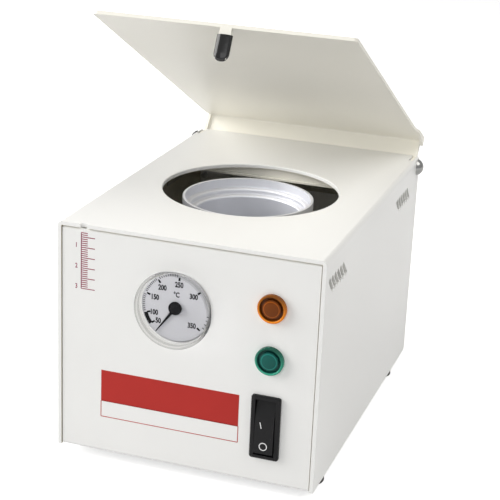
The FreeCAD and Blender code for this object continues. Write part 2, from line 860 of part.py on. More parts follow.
def pivot_nuts():
    """Nuts on the inner ends of the pivot screws."""
    solids = []
    for side in (-1, 1):
        start = vec(side * (arm_inner - washer_thickness()), pivot_y, pivot_z)
        solids.append(nut(pivot_nut_across, pivot_pin, start, AXIS_X * -side, pivot_nut_height))
    return Part.makeCompound(solids)


def gauge_centre(y):
    return vec(gauge_x, y, gauge_z)


def gauge_case():
    """Metal can of the thermometer, with a flange on the panel's face."""
    face = panel_inset
    back = face + gauge_depth
    outline = [(gauge_flange, -gauge_flange_thick), (gauge_flange, 0), (gauge_radius, 0)]
    outline += [(gauge_radius, gauge_depth), (0, gauge_depth), (0, gauge_depth - gauge_wall)]
    outline += [(gauge_radius - gauge_wall, gauge_depth - gauge_wall),
        (gauge_radius - gauge_wall, -gauge_flange_thick)]
    can = turned(outline, gauge_centre(face), AXIS_Y)
    port = rod(capillary_radius, vec(gauge_x, back - 2 * gauge_wall, gauge_z - movement_radius), AXIS_Y,
        3 * gauge_wall)
    return can.cut(port)


def dial_face():
    """Front of the dial, which lies on the can's flange."""
    return panel_inset - gauge_flange_thick - dial_sheet


def gauge_dial():
    """Printed disc with a hole for the spindle."""
    start = gauge_centre(dial_face())
    disc = rod(dial_radius, start, AXIS_Y, dial_sheet)
    return disc.cut(rod(spindle_radius + spindle_clearance, start, AXIS_Y, dial_sheet))


def gauge_movement():
    """The spring coil's housing behind the dial, which carries the spindle."""
    start = gauge_centre(panel_inset + gauge_depth - gauge_wall - movement_depth)
    drum = rod(movement_radius, start, AXIS_Y, movement_depth)
    return drum.cut(rod(spindle_radius + spindle_clearance, start, AXIS_Y, movement_depth - gauge_wall))


def gauge_lens():
    """Clear cup over the dial: it stands on the rim of the can's flange and widens to the front."""
    seat = -gauge_flange_thick
    front = seat - lens_stand
    outline = [(0, front), (lens_radius, front), (lens_radius, front + 1.5 * lens_edge),
        (gauge_flange, seat)]
    outline += [(gauge_flange - lens_seat, seat), (lens_radius - lens_wall, front + lens_wall + lens_edge)]
    outline += [(lens_radius - lens_wall - lens_seat, front + lens_wall), (0, front + lens_wall)]
    cup = turned(outline, gauge_centre(panel_inset), AXIS_Y)
    edge = circles(cup, lens_radius, lambda c: near(c.y, panel_inset + front))
    return cup.makeFillet(lens_edge, edge)


def gauge_pointer():
    """Needle and hub on their spindle."""
    hub_y = dial_face() - hub_gap - hub_height
    hub = rod(hub_radius, gauge_centre(hub_y), AXIS_Y, hub_height)
    hub = hub.makeFillet(hub_height / 3, circles(hub, hub_radius, lambda c: near(c.y, hub_y)))
    angle = math.radians(needle_rest)
    along = vec(math.cos(angle), 0, math.sin(angle))
    across = vec(-math.sin(angle), 0, math.cos(angle))
    root = gauge_centre(hub_y + hub_height - needle_sheet)
    tail = root - along * needle_tail
    tip = root + along * needle_length
    outline = [tail - across * needle_root / 2, tip - across * needle_tip / 2]
    outline += [tip + across * needle_tip / 2, tail + across * needle_root / 2]
    needle = flat(outline).extrude(AXIS_Y * needle_sheet)
    spindle_end = panel_inset + gauge_depth - 3 * gauge_wall
    spindle = rod(spindle_radius, gauge_centre(hub_y + hub_height / 2), AXIS_Y,
        spindle_end - hub_y - hub_height / 2)
    return hub.fuse(needle).fuse(spindle)


def bulb_end_y():
    """Where the sensing bulb ends, just short of the heater band."""
    band_outer = crucible_radius + band_clearance + band_sheet
    nearest = gauge_x - crucible_x + bulb_radius
    return opening_y - math.sqrt(band_outer ** 2 - nearest ** 2) - bulb_gap


def sensor_start(y):
    """Point on the straight line from the thermometer's can to the heater band."""
    return vec(gauge_x, y, gauge_z - movement_radius)


def gauge_capillary():
    """Thin tube between the can and the bulb, with one coil to take up its length."""
    start_y = panel_inset + gauge_depth
    end_y = bulb_end_y() - bulb_length
    run = (end_y - start_y - coil_length) / 2
    first = Part.LineSegment(sensor_start(start_y), sensor_start(start_y + run)).toShape()
    turn = Part.makeHelix(coil_length, coil_length, coil_radius)
    turn.rotate(vec(0, 0, 0), AXIS_X, -90)
    turn.translate(sensor_start(start_y + run) + vec(-coil_radius, 0, 0))
    last = Part.LineSegment(sensor_start(start_y + run + coil_length), sensor_start(end_y)).toShape()
    path = Part.Wire([first] + turn.Edges + [last])
    ring = Part.Wire([Part.Circle(sensor_start(start_y), AXIS_Y, capillary_radius).toShape()])
    return path.makePipeShell([ring], True, True)


def gauge_bulb():
    """Sensing bulb that reaches through the shield and the insulation."""
    bulb = rod(bulb_radius, sensor_start(bulb_end_y() - bulb_length), AXIS_Y, bulb_length)
    return bulb.makeFillet(bulb_radius * 0.6, circles(bulb, bulb_radius, lambda c: True))


def bulb_bore(radius):
    """Hole for the bulb, from in front of the shield to the heater."""
    start_y = bulb_end_y() - bulb_length
    return rod(radius, sensor_start(start_y), AXIS_Y, opening_y - bowl_radius - start_y)


def bulb_gland():
    """Flanged bush that holds the bulb in the shield's hole."""
    face_y = opening_y - shield_outer - gland_flange
    flange = rod(gland_radius, sensor_start(face_y), AXIS_Y, gland_flange * 2)
    curved = rod(shield_outer + bulb_clearance, vec(crucible_x, opening_y, 0), AXIS_Z, case_height)
    flange = flange.cut(curved)
    neck = rod(gland_radius - gland_flange, sensor_start(face_y), AXIS_Y, gland_flange + 3 * shield_sheet)
    neck = neck.cut(rod(jacket_outer + bulb_clearance, vec(crucible_x, opening_y, 0), AXIS_Z, case_height))
    return flange.fuse(neck).removeSplitter().cut(bulb_bore(bulb_radius + bulb_clearance))


def lamp_lens(z):
    """Coloured lens: a ring flange, a domed boss in its middle and a neck through the panel."""
    face = -lamp_flange_height
    floor = face + lamp_recess_depth
    outline = [(0, floor), (lamp_recess, floor), (lamp_recess, face), (lamp_flange, face), (lamp_flange, 0)]
    outline += [(lamp_neck, 0), (lamp_neck, lamp_neck_depth), (0, lamp_neck_depth)]
    centre = vec(lamp_x, panel_inset, z)
    lens = turned(outline, centre, AXIS_Y)
    rims = circles(lens, lamp_flange, lambda c: near(c.y, panel_inset + face))
    rims += circles(lens, lamp_recess, lambda c: near(c.y, panel_inset + face))
    lens = lens.makeFillet(lamp_rim_round, rims)
    ball = lamp_dome_height / 2 + lamp_boss ** 2 / (2 * lamp_dome_height)
    tip = floor - lamp_boss_height - lamp_dome_height
    dome = Part.makeSphere(ball, centre + AXIS_Y * (tip + ball))
    boss = rod(lamp_boss, centre + AXIS_Y * tip, AXIS_Y, lamp_neck_depth / 2 - tip)
    return lens.fuse(dome.common(boss))


def lamp_holder(z):
    """Lamp body behind the panel, with its clamping nut and two blades."""
    centre = vec(lamp_x, panel_inset, z)
    back = lamp_neck_depth + lamp_body_length
    body = rod(lamp_body, centre + AXIS_Y * lamp_neck_depth, AXIS_Y, lamp_body_length)
    ring = hexagon(2 * lamp_nut * 0.95, centre + AXIS_Y * chassis_sheet, AXIS_Y, lamp_nut_height)
    ring = ring.cut(rod(lamp_neck, centre, AXIS_Y, lamp_neck_depth))
    body = body.fuse(ring)
    for side in (-1, 1):
        x = lamp_x + side * lamp_body / 2
        y0 = panel_inset + back
        blade = block(x - blade_sheet / 2, x + blade_sheet / 2, y0, y0 + blade_length,
            z - blade_width / 2, z + blade_width / 2)
        body = body.fuse(blade)
    return body


def switch_housing():
    """Rocker switch frame: bezel, body with the rocker's well, and two blades behind."""
    face = panel_inset - bezel_stand
    half_w = bezel_width / 2
    half_h = bezel_height / 2
    z0 = switch_z - half_h
    z1 = switch_z + half_h
    bezel = rounded_block(switch_x - half_w, switch_x + half_w, face, panel_inset, z0, z1, bezel_corner,
        AXIS_Y)
    rim = [edge for edge in bezel.Edges if near(edge.BoundBox.YMax, face)]
    bezel = bezel.makeChamfer(bezel_stand * 0.3, rim)
    body_w = switch_width / 2
    body_h = switch_height / 2
    back = panel_inset + switch_depth
    body = block(switch_x - body_w, switch_x + body_w, panel_inset, back, switch_z - body_h,
        switch_z + body_h)
    shape = bezel.fuse(body)
    well_w = rocker_width / 2 + rocker_gap
    well_h = rocker_radius + rocker_gap
    well = block(switch_x - well_w, switch_x + well_w, face - 1, well_depth, switch_z - well_h,
        switch_z + well_h)
    shape = shape.cut(well)
    pin = rod(rocker_pin + pivot_clearance, vec(switch_x - body_w, rocker_pivot_y, switch_z), AXIS_X,
        switch_width)
    shape = shape.cut(pin)
    for z in (switch_z - body_h / 2, switch_z + body_h / 2):
        half_b = blade_width
        blade = block(switch_x - half_b, switch_x + half_b, back, back + blade_length, z - blade_sheet,
            z + blade_sheet)
        shape = shape.fuse(blade)
    return shape


def switch_rocker():
    """Rocker with a creased face: its top end is pressed in and its lower end stands out."""
    def end_height(y):
        return math.sqrt(rocker_radius ** 2 - (rocker_pivot_y - y) ** 2)
    top_z = end_height(rocker_top_y)
    bottom_z = end_height(rocker_bottom_y)
    x0 = switch_x - rocker_width / 2
    x1 = switch_x + rocker_width / 2
    outline = [(rocker_top_y, top_z + 1), (rocker_crease_y, rocker_crease_z),
        (rocker_bottom_y, -bottom_z - 1)]
    outline += [(rocker_pivot_y + rocker_back, -rocker_radius),
        (rocker_pivot_y + rocker_back, rocker_radius)]
    prism = side_prism([(y, switch_z + z) for y, z in outline], x0, x1)
    drum = rod(rocker_radius, vec(x0, rocker_pivot_y, switch_z), AXIS_X, rocker_width)
    rocker = prism.common(drum)
    relief = rocker_radius * 0.62
    for side in (-1, 1):
        tail = [(rocker_pivot_y, side * rocker_radius * 1.1),
            (rocker_pivot_y + rocker_back + 1, side * relief)]
        tail += [(rocker_pivot_y + rocker_back + 1, side * rocker_radius * 1.1)]
        rocker = rocker.cut(side_prism([(y, switch_z + z) for y, z in tail], x0 - 1, x1 + 1))
    crease = edges_along(rocker, AXIS_X, lambda p: near(p.y, rocker_crease_y))
    rocker = rocker.makeFillet(1.0, crease)
    half_pin = switch_width / 2 - rocker_gap
    pin = rod(rocker_pin, vec(switch_x - half_pin, rocker_pivot_y, switch_z), AXIS_X, 2 * half_pin)
    return rocker.fuse(pin)


def power_inlet():
    """Three-pin appliance inlet on the rear panel."""
    face = case_depth - cover_sheet
    half_w = inlet_flange_width / 2
    half_h = inlet_flange_height / 2
    x0 = inlet_x - half_w
    x1 = inlet_x + half_w
    flange = rounded_block(x0, x1, face, face + inlet_flange_thick, inlet_z - half_h, inlet_z + half_h,
        inlet_corner, AXIS_Y)
    body_w = inlet_body_width / 2
    body_h = inlet_body_height / 2
    y0 = face - inlet_body_depth
    body = block(inlet_x - body_w, inlet_x + body_w, y0, face, inlet_z - body_h, inlet_z + body_h)
    shape = flange.fuse(body)
    cav_w = inlet_cavity_width / 2
    cav_h = inlet_cavity_height / 2
    mouth = face + inlet_flange_thick
    cavity = block(inlet_x - cav_w, inlet_x + cav_w, mouth - inlet_cavity_depth, mouth + 1,
        inlet_z - cav_h, inlet_z + cav_h)
    upper = edges_along(cavity, AXIS_Y, lambda p: p.z > inlet_z)
    cavity = cavity.makeChamfer(inlet_corner, upper)
    shape = shape.cut(cavity)
    for side in (-1, 1):
        x = inlet_x + side * inlet_screw_spacing / 2
        shape = shape.cut(rod(small_screw, vec(x, face - 1, inlet_z), AXIS_Y, inlet_flange_thick + 2))
    for x, z in inlet_pin_places():
        shape = shape.cut(inlet_blade(x, z, y0 - 1))
    return shape


def inlet_pin_places():
    low = inlet_z - inlet_pin_step / 2
    half = inlet_pin_spacing / 2
    return [(inlet_x - half, low), (inlet_x + half, low), (inlet_x, low + inlet_pin_step)]


def inlet_blade(x, z, start):
    end = case_depth - cover_sheet + inlet_flange_thick - inlet_cavity_depth + inlet_pin_length
    half_w = inlet_pin_width / 2
    half_h = inlet_pin_height / 2
    return block(x - half_w, x + half_w, start, end, z - half_h, z + half_h)


def inlet_pins():
    """Three contact blades that stick out inside behind the inlet."""
    start = case_depth - cover_sheet - inlet_body_depth - blade_length
    return Part.makeCompound([inlet_blade(x, z, start) for x, z in inlet_pin_places()])


def inlet_screws():
    """Two screws that hold the inlet to the rear panel."""
    face = case_depth - cover_sheet + inlet_flange_thick
    length = inlet_flange_thick + chassis_sheet + nut_height
    solids = []
    for side in (-1, 1):
        place = vec(inlet_x + side * inlet_screw_spacing / 2, face, inlet_z)
        solids.append(screw(place, AXIS_Y * -1, small_screw, length, small_head, small_head_height))
    return Part.makeCompound(solids)


def cover_screws():
    """Four screws through the cover's rear flanges into the rear panel."""
    length = cover_sheet + chassis_sheet + nut_height
    solids = []
    for side in (-1, 1):
        for z in cover_screw_heights():
            place = vec(side * cover_screw_x(), case_depth, z)
            solids.append(screw(place, AXIS_Y * -1, small_screw, length, small_head, small_head_height))
    return Part.makeCompound(solids)


def thermostat():
    """Control thermostat on the floor, with its setting spindle on top."""
    x0 = thermostat_x - thermostat_width / 2
    y0 = thermostat_y
    z1 = floor_top + thermostat_height
    body = rounded_block(x0, x0 + thermostat_width, y0, y0 + thermostat_depth, floor_top, z1, 2.0, AXIS_Z)
    centre = vec(thermostat_x, y0 + thermostat_depth / 2, z1)
    collar = rod(2 * thermostat_spindle, centre, AXIS_Z, thermostat_spindle)
    spindle = rod(thermostat_spindle, centre, AXIS_Z, 3 * thermostat_spindle)
    return body.fuse(collar).fuse(spindle)


def terminal_block():
    """Three-pole terminal strip with its screw wells and wire holes."""
    x0 = terminal_x - terminal_width / 2
    y0 = terminal_y - terminal_depth / 2
    z1 = floor_top + terminal_height
    body = block(x0, x0 + terminal_width, y0, y0 + terminal_depth, floor_top, z1)
    pitch = terminal_width / terminal_poles
    for k in range(terminal_poles):
        x = x0 + (k + 0.5) * pitch
        for side in (-1, 1):
            well = rod(pitch / 4, vec(x, terminal_y + side * terminal_depth / 4, z1 - pitch / 2), AXIS_Z,
                pitch)
            body = body.cut(well)
        way = rod(pitch / 5, vec(x, y0 - 1, floor_top + terminal_height / 3), AXIS_Y, terminal_depth + 2)
        body = body.cut(way)
        if k:
            groove = block(x - pitch / 2 - 0.5, x - pitch / 2 + 0.5, y0 - 1, y0 + terminal_depth + 1,
                z1 - 2, z1 + 1)
            body = body.cut(groove)
    return body


def thermal_cutout():
    """Round safety cut-out on the leg of the bridge, with two blades."""
    start = vec(crucible_x + stand_half, opening_y, (floor_top + stand_top) / 2)
    disc = rod(cutout_radius, start, AXIS_X, cutout_height * 0.5)
    neck = rod(cutout_radius * 0.85, start, AXIS_X, cutout_height)
    shape = disc.fuse(neck)
    for side in (-1, 1):
        y = opening_y + side * cutout_radius / 2
        x0 = crucible_x + stand_half + cutout_height
        blade = block(x0, x0 + blade_length / 2, y - blade_sheet, y + blade_sheet, start.z - blade_width,
            start.z + blade_width)
        shape = shape.fuse(blade)
    return shape


def earth_stud():
    """Earth screw through the floor, with its two nuts."""
    start = vec(earth_x, earth_y, chassis_lift)
    bolt = screw(start, AXIS_Z, earth_radius, earth_length, 2 * earth_radius, earth_radius)
    across = 3.5 * earth_radius
    first = nut(across, earth_radius, vec(earth_x, earth_y, floor_top), AXIS_Z, 1.5 * earth_radius)
    second_z = floor_top + 1.5 * earth_radius + chassis_sheet
    second = nut(across, earth_radius, vec(earth_x, earth_y, second_z), AXIS_Z, 1.2 * earth_radius)
    return Part.makeCompound([bolt, first, second])


def earth_tag():
    """Flat tag clamped between the nuts of the earth screw."""
    z0 = floor_top + 1.5 * earth_radius
    ring = rod(1.6 * earth_radius, vec(earth_x, earth_y, z0), AXIS_Z, chassis_sheet)
    tail = block(earth_x, earth_x + 5 * earth_radius, earth_y - blade_width / 2,
        earth_y + blade_width / 2, z0, z0 + chassis_sheet)
    return ring.fuse(tail).cut(rod(earth_radius, vec(earth_x, earth_y, z0 - 1), AXIS_Z, chassis_sheet + 2))


def build():
    """All sub-parts by name."""
    return {
        "cover": cover(),
        "chassis": chassis(),
        "rear_brace": rear_brace(),
        "feet": feet(),
        "foot_screws": foot_screws(),
        "foot_nuts": foot_nuts(),
        "cover_screws": cover_screws(),
        "crucible": crucible(),
        "heater_collar": heater_collar(),
        "crucible_pad": crucible_pad(),
        "crucible_stand": crucible_stand(),
        "stand_screws": stand_screws(),
        "heater_band": heater_band(),
        "band_screw": band_screw(),
        "insulation_jacket": insulation_jacket(),
        "heat_shield": heat_shield(),
        "thermal_cutout": thermal_cutout(),
        "lid": lid(),
        "lid_tab_cap": lid_tab_cap(),
        "pivot_screws": pivot_screws(),
        "pivot_washers": pivot_washers(),
        "pivot_nuts": pivot_nuts(),
        "gauge_case": gauge_case(),
        "gauge_dial": gauge_dial(),
        "gauge_movement": gauge_movement(),
        "gauge_pointer": gauge_pointer(),
        "gauge_lens": gauge_lens(),
        "gauge_capillary": gauge_capillary(),
        "gauge_bulb": gauge_bulb(),
        "bulb_gland": bulb_gland(),
        "amber_lamp_lens": lamp_lens(amber_z),
        "amber_lamp_holder": lamp_holder(amber_z),
        "green_lamp_lens": lamp_lens(green_z),
        "green_lamp_holder": lamp_holder(green_z),
        "switch_housing": switch_housing(),
        "switch_rocker": switch_rocker(),
        "power_inlet": power_inlet(),
        "inlet_pins": inlet_pins(),
        "inlet_screws": inlet_screws(),
        "thermostat": thermostat(),
        "terminal_block": terminal_block(),
        "earth_stud": earth_stud(),
        "earth_tag": earth_tag(),
    }


def origin_shift(shapes):
    """Move that puts the origin under the middle of the whole object, at floor level."""
    extent = Part.makeCompound([shapes["gauge_lens"], shapes["lid"]]).optimalBoundingBox(False)
    return vec(0, -(extent.YMin + extent.YMax) / 2, foot_height)


def main():
    os.makedirs("parts", exist_ok=True)
    shapes = build()
    shift = origin_shift(shapes)
    for name, shape in shapes.items():
        shape.translate(shift)
        shape.exportStep("parts/" + name + ".step")
    print("origin shift", round(shift.y, 4), round(shift.z, 4))


main()
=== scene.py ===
import math

import bmesh
import bpy
from mathutils import Matrix, Vector


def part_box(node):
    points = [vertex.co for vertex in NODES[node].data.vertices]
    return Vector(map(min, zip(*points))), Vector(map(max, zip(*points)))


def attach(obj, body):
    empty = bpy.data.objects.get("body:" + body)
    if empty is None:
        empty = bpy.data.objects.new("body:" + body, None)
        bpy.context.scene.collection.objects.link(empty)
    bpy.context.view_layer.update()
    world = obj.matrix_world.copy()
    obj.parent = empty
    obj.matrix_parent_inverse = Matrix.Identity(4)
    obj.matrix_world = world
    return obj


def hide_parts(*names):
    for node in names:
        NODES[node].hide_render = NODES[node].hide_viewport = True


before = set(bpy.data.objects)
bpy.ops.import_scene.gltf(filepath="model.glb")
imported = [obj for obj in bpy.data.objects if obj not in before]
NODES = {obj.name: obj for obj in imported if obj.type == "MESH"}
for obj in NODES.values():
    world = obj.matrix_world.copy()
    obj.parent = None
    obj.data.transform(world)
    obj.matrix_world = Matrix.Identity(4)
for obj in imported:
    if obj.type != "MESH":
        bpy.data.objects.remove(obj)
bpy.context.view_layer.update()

bl_info = {
    "name": "Glass bead sterilizer",
    "version": (1, 0, 0),
    "blender": (4, 5, 0),
    "location": "3D View > Sidebar > Sterilizer",
    "description": "Finishes, prints and fine parts of a bench instrument sterilizer",
    "category": "Object",
}

MM = 0.001
CASE_LOW = Vector(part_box("cover")[0])


def case_point(x, y, z):
    """A point given in millimetres from the case's left, front, lower corner."""
    return CASE_LOW + Vector((x, y, z)) * MM


def middle(node):
    low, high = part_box(node)
    return (Vector(low) + Vector(high)) / 2


PANEL_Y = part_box("chassis")[0][1]

# Degrees between the lid's plate and level at rest
LID_OPEN = 27.6

# The numbers from here on are millimetres where nothing else is said; places count from the
# case's left, front, lower corner
COVER_SHEET = 1.8

# Ruler: marks are numbered from the ruler's top, one millimetre apart
RULER_SPINE, RULER_TOP = 11.65, 111.3
RULER_MARKS = range(3, 31)
LONG_TICK, SHORT_TICK = 6.8, 3.2
RULER_NUMERAL_X, RULER_NUMERAL_LIFT, RULER_NUMERAL = 9.2, 0.9, 3.2

# Label: a filled band, and a framed box below it
LABEL_LEFT, LABEL_RIGHT = 22.1, 90.3
BAND_MIDDLE, BAND_HEIGHT = 34.45, 15.7
BOX_TOP, BOX_LOW = 26.6, 18.5

# Dial: inner and outer radius of each kind of tick, and its width
MAJOR_TICK, MAJOR_TICK_WIDTH = (13.2, 15.0), 1.0
MINOR_TICK, LAST_TICK, MINOR_TICK_WIDTH = (14.9, 16.1), (15.0, 16.1), 0.36
ARC_TICK, ARC_TICK_WIDTH = (12.8, 14.6), 0.85
ARC_RADIUS, ARC_WIDTH = 15.1, 1.9
LENS_WINDOW = 17.1

# Gauze: x or depth of the strips, then middle and length of each
GAUZE_THICKNESS = 0.3
REAR_GAUZE_DEPTH, REAR_GAUZE_X, REAR_GAUZE_Z = 1.6, 63.75, 95.7
REAR_GAUZE_WIDTH, REAR_GAUZE_HEIGHT = 62, 20
SIDE_GAUZE_X = (2.4, 125.1)
SIDE_GAUZE_RUNS = ((23.1, 28.6), (146.5, 34.0))
SIDE_GAUZE_Z, SIDE_GAUZE_HEIGHT = 98.4, 10.5

# Rocker: y and z of the lower and the upper end of the lower half's face; the ring's height
ROCKER_X, ROCKER_LOW, ROCKER_TOP, RING_Z = 103.45, (-2.6, 15.52), (-1.6, 33.0), 20.1
RING_RADIUS, RING_LINE, STROKE_LINE = 1.75, 0.42, 0.38
STROKE_LOW, STROKE_TOP = (-1.35, 8.6), (-2.1, 11.6)

CAP_HALF_WIDTH, CAP_HALF_THICKNESS, CAP_HALF_LENGTH, CAP_WALL = 3.65, 1.7, 6.0, 0.8

# Camera of the photograph: place, then azimuth, elevation and roll in degrees, then pixels
CAMERA_PLACE = (278.3, -572.3, 325.8)
CAMERA_TURN = (17.99, 19.52, 2.53)
FOCAL_PIXELS, PHOTO_WIDTH, SENSOR = 1464.1, 500, 36.0

# Lamps: place in millimetres, size in metres, power in watts, colour
LAMP_TARGET = (64, 90, 80)
SOFTBOXES = {
    "front_softbox": ((250, -1600, 850), (1.6, 1.2), 10.0, (0.985, 0.995, 1.0)),
    "left_softbox": ((-1300, -300, 700), (1.2, 1.2), 32.0, (1.0, 0.99, 0.97)),
    "right_softbox": ((1000, 0, 1350), (1.2, 1.2), 14.8, (1.0, 0.985, 0.95))}

# Surroundings: light on the object, glow of the floor, and the grey it throws back
WORLD_TINT, WORLD_STRENGTH = (0.97, 0.98, 1.0), 0.12
FLOOR_GLOW, FLOOR_BOUNCE = 0.55, 0.55


# Sizes and colours that a user may change

class SterilizerSizes(bpy.types.PropertyGroup):
    print_thickness: bpy.props.FloatProperty(
        name="Print thickness", description="How far a printed mark stands above its surface",
        default=0.04 * MM, unit="LENGTH", precision=5)
    fine_line: bpy.props.FloatProperty(
        name="Fine line", description="Width of the ruler's ticks",
        default=0.42 * MM, unit="LENGTH", precision=5)
    bold_line: bpy.props.FloatProperty(
        name="Bold line", description="Width of the ruler's spine and of the box's frame",
        default=0.38 * MM, unit="LENGTH", precision=5)
    numeral_height: bpy.props.FloatProperty(
        name="Dial numerals", description="Letter size of the numbers on the dial",
        default=3.5 * MM, unit="LENGTH", precision=5)
    grain_size: bpy.props.FloatProperty(
        name="Coat grain", description="Distance between the bumps of the powder coat",
        default=0.9 * MM, unit="LENGTH", precision=5)


class SterilizerColours(bpy.types.PropertyGroup):
    coat: bpy.props.FloatVectorProperty(
        name="Powder coat", description="Warm white of the sheet parts", subtype="COLOR",
        size=3, min=0, max=1, default=(0.87, 0.868, 0.854))
    # Painted light: the lid coat is lighter and creamier than the case coat, for warm light bounced into the
    # shade under the lid; the brace takes it too
    lid_coat: bpy.props.FloatVectorProperty(
        name="Lid coat", description="The same coat, turned a little creamy by heat", subtype="COLOR",
        size=3, min=0, max=1, default=(0.965, 0.94, 0.855))
    print_red: bpy.props.FloatVectorProperty(
        name="Printed red", description="Ruler and label field", subtype="COLOR",
        size=3, min=0, max=1, default=(0.46, 0.028, 0.022))
    amber: bpy.props.FloatVectorProperty(
        name="Amber lens", description="Upper pilot lamp", subtype="COLOR",
        size=3, min=0, max=1, default=(0.90, 0.27, 0.02))
    green: bpy.props.FloatVectorProperty(
        name="Green lens", description="Lower pilot lamp", subtype="COLOR",
        size=3, min=0, max=1, default=(0.05, 0.37, 0.25))
    dial: bpy.props.FloatVectorProperty(
        name="Dial", description="Printed disc of the thermometer", subtype="COLOR",
        size=3, min=0, max=1, default=(0.47, 0.47, 0.495))


# Shader groups shared by several finishes

def group_socket(group, name, way, kind, value=None):
    made = group.interface.new_socket(name=name, in_out=way, socket_type=kind)
    if value is not None:
        made.default_value = value


def joined(tree, operation, first, second=0.0, clamp=False):
    """The result of a Math node; each side is a socket or a plain number."""
    node = tree.nodes.new("ShaderNodeMath")
    node.operation = operation
    node.use_clamp = clamp
    for given, socket in zip((first, second), node.inputs):
        if isinstance(given, bpy.types.NodeSocket):
            tree.links.new(given, socket)
        else:
            socket.default_value = given
    return node.outputs[0]


def noise(tree, place, **values):
    """A noise texture and its settings."""
    node = tree.nodes.new("ShaderNodeTexNoise")
    for name, value in values.items():
        node.inputs[name].default_value = value
    if place is not None:
        tree.links.new(place, node.inputs["Vector"])
    return node


def new_group(name, numbers, results):
    """A group with a vector input, numbers with their defaults, and float outputs."""
    group = bpy.data.node_groups.new(name, "ShaderNodeTree")
    group_socket(group, "Vector", "INPUT", "NodeSocketVector")
    for label, value in numbers.items():
        group_socket(group, label, "INPUT", "NodeSocketFloat", value)
    for label in results:
        group_socket(group, label, "OUTPUT", "NodeSocketFloat")
    given = group.nodes.new("NodeGroupInput")
    result = group.nodes.new("NodeGroupOutput")
    return group, given.outputs, result.inputs


def axis_distance(tree, place):
    """Distance from the Z axis, and height along it."""
    split = tree.nodes.new("ShaderNodeSeparateXYZ")
    tree.links.new(place, split.inputs[0])
    flat_place = tree.nodes.new("ShaderNodeCombineXYZ")
    tree.links.new(split.outputs["X"], flat_place.inputs["X"])
    tree.links.new(split.outputs["Y"], flat_place.inputs["Y"])
    radius = tree.nodes.new("ShaderNodeVectorMath")
    radius.operation = "LENGTH"
    tree.links.new(flat_place.outputs[0], radius.inputs[0])
    return radius.outputs["Value"], split.outputs["Z"]


def grain_group():
    """Fine bumps and soft cloudy tone, at a size given in metres."""
    group, given, result = new_group("fine_grain", {"Size": 0.001}, ("Height", "Tone"))
    bumps = noise(group, given["Vector"], Detail=2.0, Roughness=0.45)
    group.links.new(joined(group, "DIVIDE", 1.0, given["Size"]), bumps.inputs["Scale"])
    clouds = noise(group, given["Vector"], Scale=22.0, Detail=4.0)
    group.links.new(bumps.outputs["Fac"], result["Height"])
    group.links.new(clouds.outputs["Fac"], result["Tone"])


def turning_group():
    """Concentric tool marks round the Z axis of the incoming coordinates."""
    group, given, result = new_group("turning_marks", {"Pitch": 0.0006}, ("Height", "Tone"))
    radius, height = axis_distance(group, given["Vector"])
    reach = joined(group, "ADD", radius, height)
    marks = noise(group, None, Scale=1.0, Detail=3.0)
    marks.noise_dimensions = "1D"
    group.links.new(joined(group, "DIVIDE", reach, given["Pitch"]), marks.inputs["W"])
    slow = noise(group, given["Vector"], Scale=35.0, Detail=3.0)
    group.links.new(marks.outputs["Fac"], result["Height"])
    group.links.new(slow.outputs["Fac"], result["Tone"])


def core_group():
    """One near the Z axis of the incoming coordinates, nought beyond a radius."""
    group, given, result = new_group("core_zone", {"Radius": 0.005, "Blur": 0.0003}, ("Mask",))
    radius, _ = axis_distance(group, given["Vector"])
    inside = joined(group, "SUBTRACT", given["Radius"], radius)
    group.links.new(joined(group, "DIVIDE", inside, given["Blur"], clamp=True), result["Mask"])


